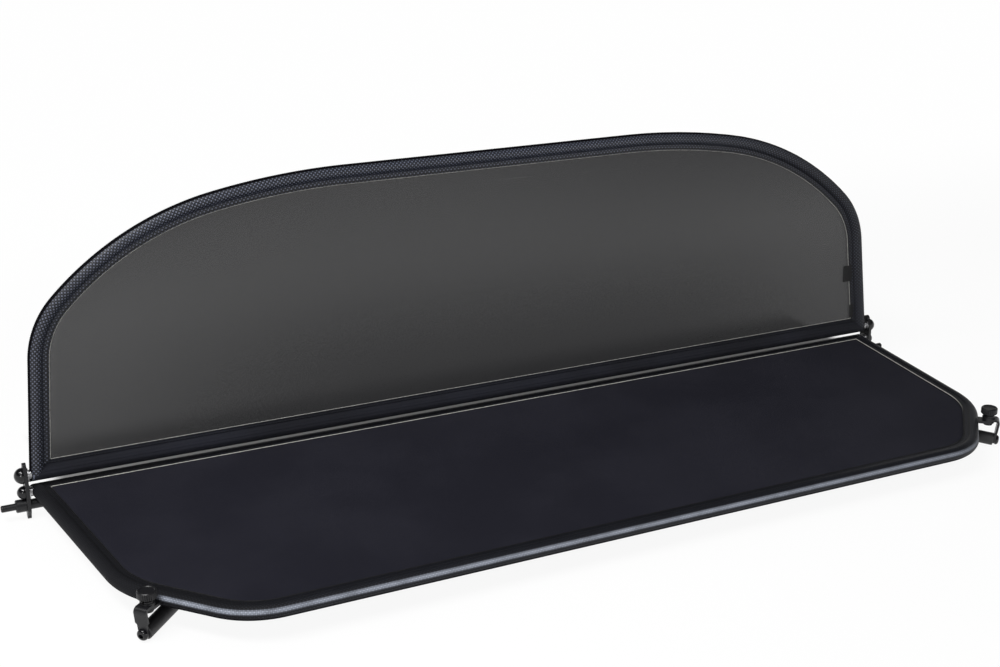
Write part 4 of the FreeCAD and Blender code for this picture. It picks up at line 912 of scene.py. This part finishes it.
FINISHES = {
    "frame_tube": FRAME_BLACK, "plug": BARE_STEEL, "pin_spring": BARE_STEEL, "pin_stop": BARE_STEEL,
    "jaw_rod": BARE_STEEL, "pivot_screw": GLOSS_BLACK, "cover_screw": GLOSS_BLACK,
    "jaw_bolt": GLOSS_BLACK, "jaw_rubber": JAW_RUBBER, "cover_washer": BARE_STEEL,
    "pivot_washer": BARE_STEEL, "flat_washer": SATIN_BLACK, "spring_washer": SATIN_BLACK,
    "hinge_plate": SATIN_BLACK, "pin_tube": SATIN_BLACK, "pin_collar": SATIN_BLACK,
    "locating_pin": SATIN_BLACK, "clamp_lug": SATIN_BLACK, "hook_strap": SATIN_BLACK,
    "thumb_screw": SATIN_BLACK}
for node_name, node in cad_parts.items():
    for part, finish in FINISHES.items():
        if part in node_name:
            node.data.materials.clear()
            node.data.materials.append(finish)

# ------------------------------------------------------------------ floor, light and camera

FLOOR_SIZE, FLOOR_LEVEL = 30, -0.0002
# The floor keeps its real shade behind the hinge line and is painted darker there, a painted
# shadow: around this middle, both are full up to the first distance and gone at the second.
SHADE_MIDDLE = (0.028, HINGE.y + 0.1)
SHADE_SIDES, SHADE_ENDS = (0.49, 0.515), (0.05, 0.13)
DIFFUSE_SKY = 0.36      # the world's plain light on the object


def floor_paint():
    """Pale floor that shows white, with more of its real shade and a painted shadow behind the hinge."""
    paint = Paint("pale_floor", Roughness=0.9)
    rays = add_node(paint.tree, "ShaderNodeLightPath")
    white = paint.node("ShaderNodeEmission", None, {"Color": colour(1, 1, 1), "Strength": 1.0})
    seen = Signal(paint, rays.outputs["Is Camera Ray"])
    for other in ("Is Glossy Ray", "Is Transmission Ray"):
        seen = seen.maths("MAXIMUM", Signal(paint, rays.outputs[other]))
    sideways, forward, _ = paint.split(paint.place())
    beside = (sideways - SHADE_MIDDLE[0]).maths("ABSOLUTE").between(*SHADE_SIDES)
    behind = (forward - SHADE_MIDDLE[1]).maths("ABSOLUTE").between(*SHADE_ENDS)
    away = beside.maths("MAXIMUM", behind)
    share = away * 0.9 + 0.02 + forward.between(0.45, 1.2) * 0.07
    # painted shadow: the floor's own colour is darker behind the hinge line
    paint.feed(Base_Color=paint.mix(away, colour(0.24, 0.24, 0.24), colour(0.92, 0.92, 0.92)))
    return paint.under(seen * share, white)


bpy.ops.mesh.primitive_plane_add(size=FLOOR_SIZE, location=(0, 0, FLOOR_LEVEL))
floor = bpy.context.object
floor.name = "floor"
floor.data.materials.append(floor_paint())

world = bpy.data.worlds.new("studio")
bpy.context.scene.world = world
world.use_nodes = True
sky = world.node_tree

# White to the camera; reflections see the white backdrop up to its top, and a dim ceiling above.
ray = add_node(sky, "ShaderNodeLightPath").outputs
heading = add_node(sky, "ShaderNodeTexCoord").outputs["Generated"]
upward = add_node(sky, "ShaderNodeSeparateXYZ", None, {0: heading}).outputs[2]
backdrop = add_node(sky, "ShaderNodeMapRange", {"interpolation_type": "SMOOTHSTEP"},
                    {"Value": upward, "From Min": 0.1, "From Max": 0.4, "To Min": 1.0,
                     "To Max": 0.08}).outputs[0]
strength = None
for seen, share in (("Is Camera Ray", 1.0), ("Is Transmission Ray", 1.0),
                    ("Is Glossy Ray", backdrop), ("Is Diffuse Ray", DIFFUSE_SKY)):
    light = add_node(sky, "ShaderNodeMath", {"operation": "MULTIPLY"}, {0: ray[seen], 1: share})
    if strength is not None:
        light = add_node(sky, "ShaderNodeMath", {"operation": "MAXIMUM"},
                         {0: strength, 1: light.outputs[0]})
    strength = light.outputs[0]
sky.links.new(strength, sky.nodes["Background"].inputs["Strength"])
sky.nodes["Background"].inputs["Color"].default_value = (1, 1, 1, 1)


def softbox(name, place, target, width, depth, power):
    """Rectangular lamp at a place, turned to its target."""
    light = bpy.data.lights.new(name, "AREA")
    light.shape = "RECTANGLE"
    light.size, light.size_y = width, depth
    light.energy = power
    lamp = bpy.data.objects.new(name, light)
    lamp.location = place
    lamp.rotation_euler = (Vector(target) - Vector(place)).to_track_quat("-Z", "Y").to_euler()
    bpy.context.scene.collection.objects.link(lamp)


softbox("overhead_softbox", (-1.1, -0.5, 1.75), (0, 0.05, 0), 1.3, 0.45, 35)
softbox("front_strip", (1.3, -2.5, 0.2), (0.1, 0, 0.05), 1.8, 0.2, 5)
softbox("front_softbox", (-1.7, -1.9, 0.9), (-0.2, 0, 0.1), 0.5, 0.5, 9)

CAMERA_PLACE = (-0.68215, HINGE.y - 1.39643, COVER_LEVEL + 0.62755)
CAMERA_DOWN, CAMERA_RIGHT = 19.246, 26.078      # how it is turned, in degrees
CAMERA_LENS, CAMERA_SENSOR = 54.109, 36         # in millimetres

camera = bpy.data.cameras.new("camera")
camera.sensor_width = CAMERA_SENSOR
camera.lens = CAMERA_LENS
viewpoint = bpy.data.objects.new("camera", camera)
viewpoint.location = CAMERA_PLACE
viewpoint.rotation_euler = (math.radians(90 - CAMERA_DOWN), 0, -math.radians(CAMERA_RIGHT))
bpy.context.scene.collection.objects.link(viewpoint)
bpy.context.scene.camera = viewpoint
bpy.context.scene.view_settings.view_transform = "Standard"
